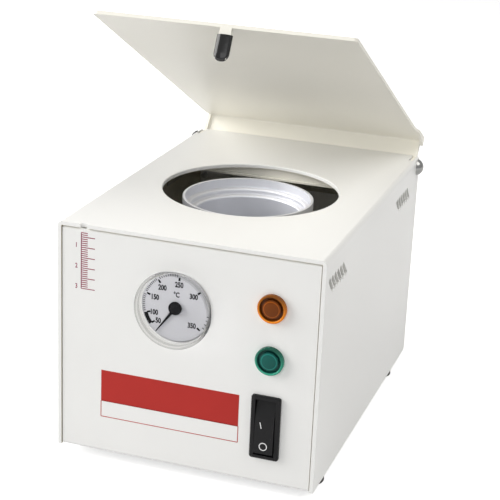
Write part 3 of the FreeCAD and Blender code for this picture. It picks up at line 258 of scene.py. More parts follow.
class Finish:
    """A material with its Principled shader, and helpers that wire effects into it."""

    def __init__(self, name, colour, roughness, metallic=0.0):
        self.material = bpy.data.materials.new(name)
        self.material.use_nodes = True
        self.tree = self.material.node_tree
        self.nodes = self.tree.nodes
        self.links = self.tree.links
        self.shader = self.nodes["Principled BSDF"]
        self.shader.inputs["Base Color"].default_value = (*colour, 1)
        self.shader.inputs["Roughness"].default_value = roughness
        self.shader.inputs["Metallic"].default_value = metallic
        self.colour = colour

    def set(self, name, value):
        self.shader.inputs[name].default_value = value
        return self

    def coordinates(self, centre=None, turn=(0, 0, 0)):
        """Object coordinates, moved to a centre and turned."""
        place = self.nodes.new("ShaderNodeTexCoord").outputs["Object"]
        if centre is None:
            return place
        shift = self.nodes.new("ShaderNodeMapping")
        shift.vector_type = "TEXTURE"
        shift.inputs["Location"].default_value = centre
        shift.inputs["Rotation"].default_value = turn
        self.links.new(place, shift.inputs["Vector"])
        return shift.outputs["Vector"]

    def effect(self, group, place, **values):
        """Puts a shared group into the material."""
        node = self.nodes.new("ShaderNodeGroup")
        node.node_tree = bpy.data.node_groups[group]
        self.links.new(place, node.inputs["Vector"])
        for name, value in values.items():
            node.inputs[name].default_value = value
        return node

    def bump(self, source, distance, strength=1.0):
        node = self.nodes.new("ShaderNodeBump")
        node.inputs["Distance"].default_value = distance
        node.inputs["Strength"].default_value = strength
        self.links.new(source, node.inputs["Height"])
        self.links.new(node.outputs["Normal"], self.shader.inputs["Normal"])
        return self

    def span(self, source, target, low, high):
        """Feeds a shader number from a mask, between two values."""
        node = self.nodes.new("ShaderNodeMapRange")
        node.inputs["From Min"].default_value = 0.3
        node.inputs["From Max"].default_value = 0.7
        node.inputs["To Min"].default_value = low
        node.inputs["To Max"].default_value = high
        self.links.new(source, node.inputs["Value"])
        self.links.new(node.outputs["Result"], self.shader.inputs[target])
        return self

    def facing_up(self):
        """A mask that is one on ledges and nought on upright walls."""
        shape = self.nodes.new("ShaderNodeNewGeometry")
        return self.along("Z", shape.outputs["Normal"])

    def along(self, axis, place):
        """One coordinate of a place."""
        split = self.nodes.new("ShaderNodeSeparateXYZ")
        self.links.new(place, split.inputs[0])
        return split.outputs[axis]

    def colour_by(self, source):
        self.links.new(source, self.shader.inputs["Base Color"])
        return self

    def surface(self, source):
        self.links.new(source, self.nodes["Material Output"].inputs["Surface"])
        return self

    def ramp(self, source, low, high, top=1.0):
        """Stretches a number so that it runs from nought at low to top at high."""
        level = self.nodes.new("ShaderNodeMapRange")
        level.inputs["From Min"].default_value = low
        level.inputs["From Max"].default_value = high
        level.inputs["To Max"].default_value = top
        self.links.new(source, level.inputs["Value"])
        return level.outputs["Result"]

    def blend(self, factor, first, second):
        """A colour between two others; the first may come from an earlier blend."""
        node = self.nodes.new("ShaderNodeMix")
        node.data_type = "RGBA"
        self.links.new(factor, node.inputs["Factor"])
        if isinstance(first, tuple):
            node.inputs["A"].default_value = (*first, 1)
        else:
            self.links.new(first, node.inputs["A"])
        node.inputs["B"].default_value = (*second, 1)
        return node.outputs["Result"]

    def tint(self, mask, other, amount=1.0):
        """Mixes the base colour towards another one where a mask is high."""
        return self.colour_by(self.blend(self.ramp(mask, 0.35, 0.65, amount), self.colour, other))


def scaled(colour, amount):
    return tuple(min(1.0, part * amount) for part in colour)


def grained(name, colour, roughness, size, depth, metallic=0.0, spread=0.05, dark=0.93):
    """A finish with fine grain, uneven gloss and slightly uneven tone."""
    finish = Finish(name, colour, roughness, metallic)
    grain = finish.effect("fine_grain", finish.coordinates(), Size=size)
    finish.bump(grain.outputs["Height"], depth)
    finish.span(grain.outputs["Tone"], "Roughness", roughness - spread, roughness + spread)
    finish.tint(grain.outputs["Tone"], scaled(colour, dark))
    return finish


def paint_node(finish, *names):
    """Gives CAD nodes a finish."""
    for name in names:
        mesh = NODES[name].data
        mesh.materials.clear()
        mesh.materials.append(finish.material)


# Mesh helpers

def new_piece(name, bm, material, body, smooth_angle=32.0):
    """Turns a bmesh into a piece of the object that rides on a body."""
    bmesh.ops.remove_doubles(bm, verts=bm.verts, dist=1e-7)
    bmesh.ops.recalc_face_normals(bm, faces=bm.faces)
    mesh = bpy.data.meshes.new(name)
    bm.to_mesh(mesh)
    bm.free()
    piece = bpy.data.objects.new(name, mesh)
    bpy.context.scene.collection.objects.link(piece)
    mesh.materials.append(material)
    mesh.shade_smooth()
    mesh.set_sharp_from_angle(angle=math.radians(smooth_angle))
    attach(piece, body)
    return piece


def frame_of(origin, right, up):
    """A matrix that puts flat work (x to the right, y up) on a plane at an origin."""
    right = Vector(right).normalized()
    up = Vector(up).normalized()
    out = right.cross(up)
    matrix = Matrix((right, up, out)).transposed().to_4x4()
    matrix.translation = Vector(origin)
    return matrix


def add_bar(bm, start, end, width, thickness, taper=1.0):
    """A flat bar from one point to another on the work plane, raised by its thickness."""
    start = Vector((*start, 0))
    end = Vector((*end, 0))
    run = end - start
    side = Vector((-run.y, run.x, 0)).normalized() * (width / 2)
    corners = [start - side, end - side * taper, end + side * taper, start + side]
    face = bm.faces.new([bm.verts.new(corner) for corner in corners])
    raised = bmesh.ops.extrude_face_region(bm, geom=[face])
    verts = [item for item in raised["geom"] if isinstance(item, bmesh.types.BMVert)]
    bmesh.ops.translate(bm, verts=verts, vec=(0, 0, thickness))


def add_arc(bm, radius, width, start, end, thickness, steps=24):
    """A raised strip along an arc, between two angles in degrees."""
    inner = radius - width / 2
    full = abs(end - start) >= 360
    first = [bm.verts.new((inner, 0, 0)), bm.verts.new((inner + width, 0, 0))]
    bmesh.ops.rotate(bm, verts=first, cent=(0, 0, 0), matrix=Matrix.Rotation(math.radians(start), 3, "Z"))
    edge = bm.edges.new(first)
    bmesh.ops.spin(
        bm, geom=first + [edge], cent=(0, 0, 0), axis=(0, 0, 1),
        angle=math.radians(end - start), steps=steps, use_merge=full)
    if full:
        bmesh.ops.remove_doubles(bm, verts=bm.verts, dist=1e-7)
    faces = {face for vert in first for face in vert.link_faces}
    grown = True
    while grown:
        more = {f for face in faces for e in face.edges for f in e.link_faces} - faces
        grown = bool(more)
        faces |= more
    raised = bmesh.ops.extrude_face_region(bm, geom=list(faces))
    verts = [item for item in raised["geom"] if isinstance(item, bmesh.types.BMVert)]
    bmesh.ops.translate(bm, verts=verts, vec=(0, 0, thickness))


def add_text(bm, text, centre, size, thickness, squeeze=0.78, weight=0.0):
    """Raised figures centred on a point of the work plane."""
    curve = bpy.data.curves.new("figures", "FONT")
    curve.body = text
    curve.size = size
    curve.align_x = "CENTER"
    curve.align_y = "CENTER"
    curve.extrude = thickness / 2
    curve.offset = weight
    curve.resolution_u = 3
    holder = bpy.data.objects.new("figures", curve)
    bpy.context.scene.collection.objects.link(holder)
    graph = bpy.context.evaluated_depsgraph_get()
    mesh = bpy.data.meshes.new_from_object(holder.evaluated_get(graph))
    bpy.data.objects.remove(holder)
    bpy.data.curves.remove(curve)
    xs = [vert.co.x for vert in mesh.vertices]
    ys = [vert.co.y for vert in mesh.vertices]
    off = Vector((-(min(xs) + max(xs)) / 2, -(min(ys) + max(ys)) / 2, thickness / 2))
    narrowed = Matrix.Diagonal((squeeze, 1, 1, 1)) @ Matrix.Translation(off)
    mesh.transform(Matrix.Translation((*centre, 0)) @ narrowed)
    bm.from_mesh(mesh)
    bpy.data.meshes.remove(mesh)


# Stage

def set_camera():
    """Camera at the photograph's place: position, direction, roll and focal length."""
    azimuth, elevation, roll = (math.radians(turn) for turn in CAMERA_TURN)
    forward = Vector((
        -math.sin(azimuth) * math.cos(elevation),
        math.cos(azimuth) * math.cos(elevation),
        -math.sin(elevation)))
    level = forward.cross(Vector((0, 0, 1))).normalized()
    upright = level.cross(forward)
    right = level * math.cos(roll) + upright * math.sin(roll)
    up = upright * math.cos(roll) - level * math.sin(roll)
    matrix = Matrix((right, up, -forward)).transposed().to_4x4()
    matrix.translation = case_point(*CAMERA_PLACE)
    data = bpy.data.cameras.new("bench_camera")
    data.sensor_width = SENSOR
    data.lens = SENSOR * FOCAL_PIXELS / PHOTO_WIDTH
    data.clip_start = 0.01
    camera = bpy.data.objects.new("bench_camera", data)
    camera.matrix_world = matrix
    bpy.context.scene.collection.objects.link(camera)
    bpy.context.scene.camera = camera


def add_softbox(name, place, target, size, watts, colour):
    data = bpy.data.lights.new(name, "AREA")
    data.shape = "RECTANGLE"
    data.size, data.size_y = size
    data.energy = watts
    data.color = colour
    lamp = bpy.data.objects.new(name, data)
    lamp.location = place
    lamp.rotation_euler = (Vector(target) - Vector(place)).to_track_quat("-Z", "Y").to_euler()
    bpy.context.scene.collection.objects.link(lamp)


def shown_rays(tree):
    """One for camera rays and for those in gloss and through glass, before any diffuse bounce."""
    path = tree.nodes.new("ShaderNodeLightPath").outputs
    shown = joined(tree, "MAXIMUM", path["Is Camera Ray"], path["Is Glossy Ray"])
    shown = joined(tree, "MAXIMUM", shown, path["Is Transmission Ray"])
    direct = joined(tree, "LESS_THAN", path["Diffuse Depth"], 0.5)
    return joined(tree, "MULTIPLY", shown, direct)


def mixed_shader(tree, factor, first, second):
    mix = tree.nodes.new("ShaderNodeMixShader")
    for source, socket in zip((factor, first, second), mix.inputs):
        tree.links.new(source, socket)
    return mix.outputs[0]


def set_world():
    """White for the camera, glass and gloss, and a plain grey light on the object."""
    world = bpy.data.worlds.new("studio")
    bpy.context.scene.world = world
    world.use_nodes = True
    tree = world.node_tree
    dim = tree.nodes["Background"]
    dim.inputs["Color"].default_value = (*WORLD_TINT, 1)
    dim.inputs["Strength"].default_value = WORLD_STRENGTH
    white = tree.nodes.new("ShaderNodeBackground")
    white.inputs["Strength"].default_value = 1.0
    seen = mixed_shader(tree, shown_rays(tree), dim.outputs[0], white.outputs[0])
    tree.links.new(seen, tree.nodes["World Output"].inputs["Surface"])


class STERILIZER_OT_stage(bpy.types.Operator):
    """Camera, lamps, white surroundings and a pale floor"""
    bl_idname = "sterilizer.stage"
    bl_label = "Stage"

    def execute(self, context):
        set_camera()
        set_world()
        target = case_point(*LAMP_TARGET)
        for name, (place, size, watts, colour) in SOFTBOXES.items():
            add_softbox(name, case_point(*place), target, size, watts, colour)
        bm = bmesh.new()
        bmesh.ops.create_grid(bm, x_segments=1, y_segments=1, size=4.0)
        mesh = bpy.data.meshes.new("bench_top")
        bm.to_mesh(mesh)
        bm.free()
        floor = bpy.data.objects.new("bench_top", mesh)
        context.scene.collection.objects.link(floor)
        finish = Finish("pale_bench", (0.90, 0.90, 0.90), 0.8)
        grain = finish.effect("fine_grain", finish.coordinates(), Size=0.004)
        finish.bump(grain.outputs["Height"], 0.00005)
        glow = finish.nodes.new("ShaderNodeEmission")
        glow.inputs["Strength"].default_value = FLOOR_GLOW
        bounce = finish.nodes.new("ShaderNodeBsdfDiffuse")
        bounce.inputs["Color"].default_value = (FLOOR_BOUNCE, FLOOR_BOUNCE, FLOOR_BOUNCE, 1)
        total = finish.nodes.new("ShaderNodeAddShader")
        finish.links.new(finish.shader.outputs[0], total.inputs[0])
        finish.links.new(glow.outputs[0], total.inputs[1])
        shown = shown_rays(finish.tree)
        finish.surface(mixed_shader(finish.tree, shown, bounce.outputs[0], total.outputs[0]))
        mesh.materials.append(finish.material)
        context.scene.view_settings.view_transform = "Standard"
        return {"FINISHED"}


# Sheet parts

def coated(name, colour, grain_size):
    """Powder coat: fine grain under a thin gloss."""
    coat = grained(name, colour, 0.42, grain_size, 0.000035, spread=0.04, dark=0.985)
    return coat.set("Coat Weight", 0.12).set("Coat Roughness", 0.25)


def inner_side(finish, centre, half_width, half_height):
    """One on the inner faces of the bent cover, where the shade inside the case and in the gap at the front
    panel is painted.
    """
    slack = 0.05 * MM
    place = finish.coordinates(centre)
    aside = joined(finish.tree, "ABSOLUTE", finish.along("X", place))
    within = joined(finish.tree, "LESS_THAN", aside, half_width + slack)
    below = joined(finish.tree, "LESS_THAN", finish.along("Z", place), half_height + slack)
    return joined(finish.tree, "MULTIPLY", within, below)


class STERILIZER_OT_coating(bpy.types.Operator):
    """Powder coat on the case, the front panel, the brace and the lid"""
    bl_idname = "sterilizer.coating"
    bl_label = "Powder coat"

    def execute(self, context):
        colours = context.scene.sterilizer_colours
        grain_size = context.scene.sterilizer_sizes.grain_size
        white, creamy = tuple(colours.coat), tuple(colours.lid_coat)
        paint_node(coated("panel_coat", white, grain_size), "chassis")
        shell = coated("shell_coat", white, grain_size)
        centre = middle("cover")
        half = Vector(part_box("cover")[1]) - centre
        sheet = COVER_SHEET * MM
        inside = inner_side(shell, centre, half.x - sheet, half.z - sheet)
        # Painted shade: the cover's inner faces are painted a darker olive for the shade inside the case and
        # in the gap beside the front panel
        shell.colour_by(shell.blend(inside, white, (0.66, 0.62, 0.50)))
        paint_node(shell, "cover")
        lid_shading = coated("lid_coat_painted_light", creamy, grain_size)
        # Painted shade and light: lid and brace darker towards the top of the lid, lighter low down where
        # light thrown back from the case top falls
        height = lid_shading.along("Z", lid_shading.coordinates(middle("lid")))
        shade_by_height = lid_shading.ramp(height, -42 * MM, 42 * MM)
        lid_shading.colour_by(lid_shading.blend(shade_by_height, creamy, scaled(creamy, 0.84)))
        paint_node(lid_shading, "rear_brace", "lid")
        return {"FINISHED"}


# Crucible

class STERILIZER_OT_crucible(bpy.types.Operator):
    """Turned aluminium cup with tool marks, and a painted highlight on its ledges"""
    bl_idname = "sterilizer.crucible"
    bl_label = "Crucible"

    def execute(self, context):
        low, high = (Vector(corner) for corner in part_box("crucible"))
        centre = Vector(((low.x + high.x) / 2, (low.y + high.y) / 2, high.z))
        finish = Finish("turned_aluminium", (0.70, 0.71, 0.75), 0.52, 0.6)
        place = finish.coordinates(centre)
        marks = finish.effect("turning_marks", place, Pitch=0.0005)
        finish.bump(marks.outputs["Height"], 0.00002)
        finish.span(marks.outputs["Tone"], "Roughness", 0.46, 0.56)
        # Painted highlight: ledges that face up are painted lighter than the walls, for light falling on them
        # from above
        finish.tint(finish.facing_up(), (0.86, 0.86, 0.89), 0.7)
        paint_node(finish, "crucible")
        return {"FINISHED"}


# Metal pieces

# Colour, roughness, grain size, grain depth, spread of gloss, darkest tone, nodes
METALS = {
    "polished_steel": ((0.25, 0.25, 0.245), 0.12, 0.0008, 0.000003, 0.04, 0.93, ("pivot_screws",)),
    "zinc_plate": ((0.66, 0.67, 0.68), 0.36, 0.0012, 0.00001, 0.08, 0.86, (
        "foot_screws", "foot_nuts", "cover_screws", "stand_screws", "band_screw", "pivot_washers",
        "pivot_nuts", "inlet_screws", "gauge_movement", "bulb_gland")),
    "mill_steel": ((0.50, 0.49, 0.46), 0.40, 0.002, 0.00002, 0.1, 0.8, ("crucible_stand",)),
    "heated_band": ((0.34, 0.32, 0.33), 0.38, 0.002, 0.00002, 0.1, 0.7, ("heater_band",)),
    "sooted_steel": ((0.13, 0.125, 0.10), 0.48, 0.002, 0.00003, 0.1, 0.75, ("heater_collar",)),
    "drawn_copper": ((0.72, 0.36, 0.22), 0.33, 0.0015, 0.00001, 0.08, 0.8, ("gauge_capillary", "gauge_bulb")),
    "plain_brass": ((0.72, 0.53, 0.22), 0.34, 0.0015, 0.00001, 0.08, 0.85, (
        "inlet_pins", "earth_stud", "earth_tag"))}


class STERILIZER_OT_hardware(bpy.types.Operator):
    """Polished heads, zinc plated screws, sheet steel, copper and brass"""
    bl_idname = "sterilizer.hardware"
    bl_label = "Metal pieces"

    def execute(self, context):
        for name, (colour, roughness, size, depth, spread, dark, nodes) in METALS.items():
            paint_node(grained(name, colour, roughness, size, depth, 1.0, spread, dark), *nodes)
        shield = grained("shield_sheet_painted_light", (0.46, 0.42, 0.30), 0.48, 0.002, 0.00002, 0.2, 0.1, 0.8)
        # Painted light: the shield is painted much lighter towards its right, for light that reaches that
        # side through the opening
        across = shield.along("X", shield.coordinates(middle("heat_shield")))
        painted_light = shield.ramp(across, -20 * MM, 36 * MM)
        shield.colour_by(shield.blend(painted_light, shield.colour, (0.92, 0.88, 0.76)))
        paint_node(shield, "heat_shield")
        return {"FINISHED"}


class STERILIZER_OT_insulation(bpy.types.Operator):
    """Pressed fibre sleeve and pad, moulded resin blocks"""
    bl_idname = "sterilizer.insulation"
    bl_label = "Insulation and inner blocks"

    def execute(self, context):
        wool = grained("pressed_fibre", (0.78, 0.74, 0.66), 0.95, 0.0016, 0.0003, 0.0, 0.03, 0.85)
        paint_node(wool, "insulation_jacket", "crucible_pad")
        resin = grained("moulded_resin", (0.72, 0.67, 0.55), 0.5, 0.001, 0.00002, 0.0, 0.06, 0.95)
        paint_node(resin, "thermostat", "terminal_block", "thermal_cutout")
        return {"FINISHED"}


class STERILIZER_OT_rubber(bpy.types.Operator):
    """Matt rubber feet and moulded black plastic"""
    bl_idname = "sterilizer.rubber"
    bl_label = "Feet and black mouldings"

    def execute(self, context):
        rubber = grained("foot_rubber", (0.022, 0.021, 0.020), 0.72, 0.0009, 0.00004, 0.0, 0.08, 1.5)
        paint_node(rubber, "feet")
        nylon = grained("black_nylon", (0.007, 0.007, 0.0075), 0.40, 0.0007, 0.000012, 0.0, 0.05, 1.3)
        nylon.set("Specular IOR Level", 0.14)
        paint_node(
            nylon, "amber_lamp_holder", "green_lamp_holder", "switch_housing", "switch_rocker", "power_inlet")
        return {"FINISHED"}


# Thermometer

MAJOR_MARKS = {50: 218.3, 100: 196.8, 150: 160.3, 200: 125.2, 250: 83.9, 300: 38.1, 350: -37.7}
NUMERALS = {
    50: (11.2, 222.1), 100: (10.9, 199.8), 150: (10.6, 159.9), 200: (10.95, 127.2), 250: (11.3, 82.9),
    300: (10.8, 38.1), 350: (10.8, -42.9)}


def mark_angle(value):
    """Angle of a temperature on the dial, read between the numbered marks."""
    below = max(mark for mark in MAJOR_MARKS if mark <= value)
    above = min(mark for mark in MAJOR_MARKS if mark >= value)
    if above == below:
        return MAJOR_MARKS[below]
    part = (value - below) / (above - below)
    return MAJOR_MARKS[below] + part * (MAJOR_MARKS[above] - MAJOR_MARKS[below])


def polar(radius, degrees):
    angle = math.radians(degrees)
    return (radius * MM * math.cos(angle), radius * MM * math.sin(angle))


def add_tick(bm, reach, degrees, width, thick, taper=1.0):
    """A bar on the dial between two radii, in millimetres."""
    add_bar(bm, polar(reach[0], degrees), polar(reach[1], degrees), width * MM, thick, taper)


def print_finish(name, colour, roughness=0.5):
    return grained(name, colour, roughness, 0.0006, 0.000006, 0.0, 0.05, 0.92)


class STERILIZER_OT_thermometer(bpy.types.Operator):
    """Dial face with its scale, black hand, clear cup"""
    bl_idname = "sterilizer.thermometer"
    bl_label = "Dial thermometer"

    def execute(self, context):
        sizes = context.scene.sterilizer_sizes
        colours = context.scene.sterilizer_colours
        thick = sizes.print_thickness
        face = print_finish("dial_enamel", tuple(colours.dial), 0.55)
        paint_node(face, "gauge_dial")
        moulding = print_finish("white_moulding", (0.72, 0.72, 0.72), 0.35)
        paint_node(moulding, "gauge_case")
        black = print_finish("dial_ink", (0.008, 0.008, 0.009))
        black.set("Specular IOR Level", 0.08)
        paint_node(black, "gauge_pointer")
        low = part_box("gauge_dial")[0]
        centre = middle("gauge_dial")
        plane = frame_of((centre.x, low[1], centre.z), (1, 0, 0), (0, 0, 1))
        bm = bmesh.new()
        for value, angle in MAJOR_MARKS.items():
            if value >= 150:
                add_tick(bm, MAJOR_TICK, angle, MAJOR_TICK_WIDTH, thick, 0.75)
        start, end = MAJOR_MARKS[100], MAJOR_MARKS[50]
        add_arc(bm, ARC_RADIUS * MM, ARC_WIDTH * MM, start, end, thick)
        for angle in (start, end):
            add_tick(bm, ARC_TICK, angle, ARC_TICK_WIDTH, thick * 1.1)
        for value in range(105, 250, 5):
            if value % 50:
                add_tick(bm, MINOR_TICK, mark_angle(value), MINOR_TICK_WIDTH, thick)
        for value in range(330, 350, 5):
            add_tick(bm, LAST_TICK, mark_angle(value), MINOR_TICK_WIDTH, thick)
        for value, (radius, turn) in NUMERALS.items():
            add_text(bm, str(value), polar(radius, turn), sizes.numeral_height, thick, 0.76, 0.00014)
        add_text(bm, "°C", polar(6.4, 87.8), sizes.numeral_height * 0.95, thick, 0.8, 0.00012)
        bm.transform(plane)
        new_piece("dial_scale", bm, black.material, "base")
        clear = Finish("clear_acrylic", (0.66, 0.66, 0.65), 0.03)
        clear.set("Transmission Weight", 1.0).set("IOR", 1.035)
        round_dial = clear.coordinates(middle("gauge_lens"), (math.radians(90), 0, 0))
        window = clear.effect("core_zone", round_dial, Radius=LENS_WINDOW * MM, Blur=0.2 * MM)
        clear.tint(window.outputs["Mask"], (0.98, 0.98, 0.98))
        clear.span(window.outputs["Mask"], "Roughness", 0.25, 0.01)
        haze = clear.effect("fine_grain", clear.coordinates(), Size=0.006)
        clear.bump(haze.outputs["Height"], 0.00001)
        shade = clear.nodes.new("ShaderNodeBsdfTransparent")
        shade.inputs["Color"].default_value = (0.90, 0.90, 0.91, 1)
        shadow = clear.nodes.new("ShaderNodeLightPath").outputs["Is Shadow Ray"]
        clear.surface(mixed_shader(clear.tree, shadow, clear.shader.outputs[0], shade.outputs[0]))
        paint_node(clear, "gauge_lens")
        return {"FINISHED"}


# Pilot lamps

def lens_finish(name, node, colour, core):
    """Tinted plastic: its ring painted lighter at the bottom and darker towards the top as light and shade,
    its middle darker, and a lighter ring at the dome's edge as a painted highlight.
    """
    finish = Finish(name, colour, 0.14)
    finish.set("IOR", 1.45).set("Specular IOR Level", 0.12)
    face = middle(node)
    # Painted light and shade: the ring is painted lighter at the bottom and darker towards the top
    shade_by_height = finish.ramp(finish.along("Z", finish.coordinates(face)), -4 * MM, 6 * MM, 0.9)
    whole = finish.blend(shade_by_height, colour, scaled(colour, 0.15))
    place = finish.coordinates(face, (math.radians(90), 0, 0))
    # Painted highlight: the middle zones are darker, with a lighter ring at the dome's edge standing for its
    # highlight
    for radius, shade in ((5.75, core), (3.95, scaled(core, 2.6)), (3.6, scaled(core, 1.15))):
        zone = finish.effect("core_zone", place, Radius=radius * MM, Blur=0.3 * MM)
        whole = finish.blend(zone.outputs["Mask"], whole, shade)
    finish.colour_by(whole)
    grain = finish.effect("fine_grain", finish.coordinates(), Size=0.0015)
    finish.bump(grain.outputs["Height"], 0.00002)
    return finish


class STERILIZER_OT_lamps(bpy.types.Operator):
    """Amber and green pilot lamp lenses"""
    bl_idname = "sterilizer.lamps"
    bl_label = "Pilot lamps"

    def execute(self, context):
        colours = context.scene.sterilizer_colours
        amber = lens_finish("amber_lens", "amber_lamp_lens", tuple(colours.amber), (0.15, 0.036, 0.003))
        paint_node(amber, "amber_lamp_lens")
        green = lens_finish("green_lens", "green_lamp_lens", tuple(colours.green), (0.008, 0.090, 0.075))
        paint_node(green, "green_lamp_lens")
        return {"FINISHED"}


# Front panel print

class STERILIZER_OT_panel_print(bpy.types.Operator):
    """Millimetre ruler, label field and framed box on the front panel"""
    bl_idname = "sterilizer.panel_print"
    bl_label = "Panel print"

    def execute(self, context):
        sizes = context.scene.sterilizer_sizes
        red = print_finish("printed_red", tuple(context.scene.sterilizer_colours.print_red))
        red.set("Specular IOR Level", 0.2)
        crimson = print_finish("ruler_crimson", (0.30, 0.035, 0.085))
        crimson.set("Specular IOR Level", 0.2)
        thick = sizes.print_thickness
        origin = case_point(0, 0, 0)
        origin.y = PANEL_Y
        plane = frame_of(origin, (1, 0, 0), (0, 0, 1))
        bm = bmesh.new()
        spine = RULER_SPINE * MM
        top = RULER_TOP * MM
        ends = [(spine, top - k * MM) for k in (RULER_MARKS[-1], RULER_MARKS[0])]
        add_bar(bm, *ends, sizes.bold_line, thick)
        for k in RULER_MARKS:
            z = top - k * MM
            reach = SHORT_TICK if k % 5 else LONG_TICK
            add_bar(bm, (spine, z), (spine + reach * MM, z), sizes.fine_line, thick)
        for k in (1, 2, 3):
            place = (RULER_NUMERAL_X * MM, top + (RULER_NUMERAL_LIFT - 10 * k) * MM)
            add_text(bm, str(k), place, RULER_NUMERAL * MM, thick, 0.78, 0.00006)
        bm.transform(plane)
        new_piece("panel_ruler", bm, crimson.material, "base")
        bm = bmesh.new()
        left, right, middle_z = (part * MM for part in (LABEL_LEFT, LABEL_RIGHT, BAND_MIDDLE))
        add_bar(bm, (left, middle_z), (right, middle_z), BAND_HEIGHT * MM, thick)
        bm.transform(plane)
        new_piece("label_field", bm, red.material, "base")
        bm = bmesh.new()
        high, low = BOX_TOP * MM, BOX_LOW * MM
        corners = [(left, high), (right, high), (right, low), (left, low)]
        for first, second in zip(corners, corners[1:] + corners[:1]):
            add_bar(bm, first, second, sizes.bold_line, thick)
        bm.transform(plane)
        new_piece("label_frame", bm, red.material, "base")
        return {"FINISHED"}


# Gauze

class STERILIZER_OT_vent_gauze(bpy.types.Operator):
    """Woven gauze behind the vents of the cover and the slots of the rear panel"""
    bl_idname = "sterilizer.vent_gauze"
    bl_label = "Vent gauze"

    def execute(self, context):
        gauze = Finish("woven_gauze", (0.60, 0.58, 0.50), 0.6, 0.1)
        weave = gauze.effect("fine_grain", gauze.coordinates(), Size=0.0004)
        gauze.bump(weave.outputs["Height"], 0.0001)
        gauze.tint(weave.outputs["Height"], (0.42, 0.40, 0.34))
        rear = case_point(REAR_GAUZE_X, 0, REAR_GAUZE_Z)
        rear.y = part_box("chassis")[1][1] - REAR_GAUZE_DEPTH * MM
        strips = [(rear, (REAR_GAUZE_WIDTH, GAUZE_THICKNESS, REAR_GAUZE_HEIGHT))]
        for x in SIDE_GAUZE_X:
            for y, length in SIDE_GAUZE_RUNS:
                place = case_point(x, y, SIDE_GAUZE_Z)
                strips.append((place, (GAUZE_THICKNESS, length, SIDE_GAUZE_HEIGHT)))
        bm = bmesh.new()
        for place, size in strips:
            strip = bmesh.ops.create_cube(bm, size=1.0)
            bmesh.ops.scale(bm, verts=strip["verts"], vec=Vector(size) * MM)
            bmesh.ops.translate(bm, verts=strip["verts"], vec=place)
        new_piece("vent_gauze", bm, gauze.material, "base")
        return {"FINISHED"}


# Rocker marks

class STERILIZER_OT_rocker_marks(bpy.types.Operator):
    """White bar and ring on the lower half of the rocker"""
    bl_idname = "sterilizer.rocker_marks"
    bl_label = "Rocker marks"

    def execute(self, context):
        white = print_finish("switch_white", (0.85, 0.85, 0.85))
        thick = context.scene.sterilizer_sizes.print_thickness
        face_low = case_point(ROCKER_X, *ROCKER_LOW)
        face_top = case_point(ROCKER_X, *ROCKER_TOP)
        up = (face_top - face_low).normalized()
        seat = face_low.lerp(face_top, (RING_Z - ROCKER_LOW[1]) / (ROCKER_TOP[1] - ROCKER_LOW[1]))
        plane = frame_of(seat, (1, 0, 0), up)
        bm = bmesh.new()
        add_arc(bm, RING_RADIUS * MM, RING_LINE * MM, 0, 360, thick, 40)
        ends = [(x * MM, y * MM) for x, y in (STROKE_LOW, STROKE_TOP)]
        add_bar(bm, *ends, STROKE_LINE * MM, thick)
        bm.transform(plane)
        new_piece("rocker_marks", bm, white.material, "rocker")
        return {"FINISHED"}


# Tab cap

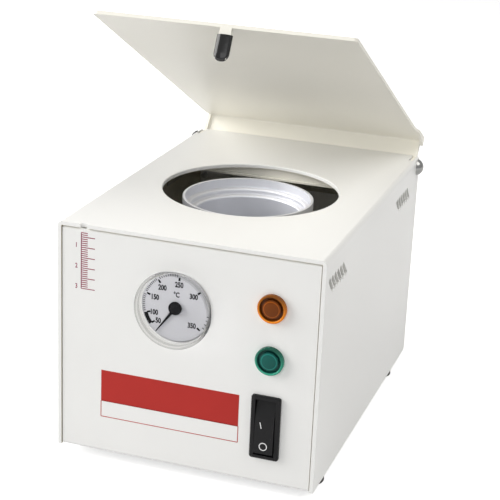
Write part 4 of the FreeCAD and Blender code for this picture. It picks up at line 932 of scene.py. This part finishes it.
class STERILIZER_OT_tab_cap(bpy.types.Operator):
    """Glossy soft cap on the lid's tab"""
    bl_idname = "sterilizer.tab_cap"
    bl_label = "Tab cap"

    def execute(self, context):
        vinyl = grained("black_vinyl", (0.004, 0.004, 0.004), 0.12, 0.002, 0.00002, 0.0, 0.02, 1.4)
        vinyl.set("Specular IOR Level", 0.4)
        half_width, half_thick, half_length = (
            half * MM for half in (CAP_HALF_WIDTH, CAP_HALF_THICKNESS, CAP_HALF_LENGTH))
        shoulder = half_width - half_length
        bm = bmesh.new()
        bmesh.ops.create_uvsphere(bm, u_segments=40, v_segments=28, radius=1.0)
        for vert in bm.verts:
            vert.co.x = math.copysign(abs(vert.co.x) ** 0.85, vert.co.x) * half_width
            vert.co.y = math.copysign(abs(vert.co.y) ** 0.85, vert.co.y) * half_thick
            vert.co.z *= half_width
        bmesh.ops.translate(bm, verts=bm.verts, vec=(0, 0, shoulder))
        cut = bmesh.ops.bisect_plane(
            bm, geom=bm.verts[:] + bm.edges[:] + bm.faces[:], plane_co=(0, 0, shoulder),
            plane_no=(0, 0, 1), clear_outer=True)
        rim = [item for item in cut["geom_cut"] if isinstance(item, bmesh.types.BMEdge)]
        raised = bmesh.ops.extrude_edge_only(bm, edges=rim)
        verts = [item for item in raised["geom"] if isinstance(item, bmesh.types.BMVert)]
        bmesh.ops.translate(bm, verts=verts, vec=(0, 0, 2 * half_length - half_width))
        bmesh.ops.recalc_face_normals(bm, faces=bm.faces)
        bmesh.ops.solidify(bm, geom=bm.faces[:], thickness=CAP_WALL * MM)
        tilt = Matrix.Rotation(math.radians(-LID_OPEN), 3, "X")
        bmesh.ops.rotate(bm, verts=bm.verts, cent=(0, 0, 0), matrix=tilt)
        bmesh.ops.translate(bm, verts=bm.verts, vec=middle("lid_tab_cap"))
        cap = new_piece("tab_cap", bm, vinyl.material, "lid", 40.0)
        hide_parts("lid_tab_cap")
        return {"FINISHED"}


STEPS = (
    STERILIZER_OT_stage,
    STERILIZER_OT_coating,
    STERILIZER_OT_crucible,
    STERILIZER_OT_hardware,
    STERILIZER_OT_insulation,
    STERILIZER_OT_rubber,
    STERILIZER_OT_thermometer,
    STERILIZER_OT_lamps,
    STERILIZER_OT_panel_print,
    STERILIZER_OT_vent_gauze,
    STERILIZER_OT_rocker_marks,
    STERILIZER_OT_tab_cap,
)


class STERILIZER_PT_panel(bpy.types.Panel):
    """Sizes, colours and steps of the sterilizer"""
    bl_idname = "STERILIZER_PT_panel"
    bl_label = "Sterilizer"
    bl_space_type = "VIEW_3D"
    bl_region_type = "UI"
    bl_category = "Sterilizer"

    def draw(self, context):
        for group in (context.scene.sterilizer_sizes, context.scene.sterilizer_colours):
            for name in group.__annotations__:
                self.layout.prop(group, name)
        for step in STEPS:
            self.layout.operator(step.bl_idname)


CLASSES = (SterilizerSizes, SterilizerColours, *STEPS, STERILIZER_PT_panel)


def register():
    for kind in CLASSES:
        bpy.utils.register_class(kind)
    bpy.types.Scene.sterilizer_sizes = bpy.props.PointerProperty(type=SterilizerSizes)
    bpy.types.Scene.sterilizer_colours = bpy.props.PointerProperty(type=SterilizerColours)


def unregister():
    del bpy.types.Scene.sterilizer_colours
    del bpy.types.Scene.sterilizer_sizes
    for kind in reversed(CLASSES):
        bpy.utils.unregister_class(kind)


def main():
    register()
    grain_group()
    turning_group()
    core_group()
    for step in STEPS:
        category, name = step.bl_idname.split(".")
        getattr(getattr(bpy.ops, category), name)()


if __name__ == "__main__":
    main()
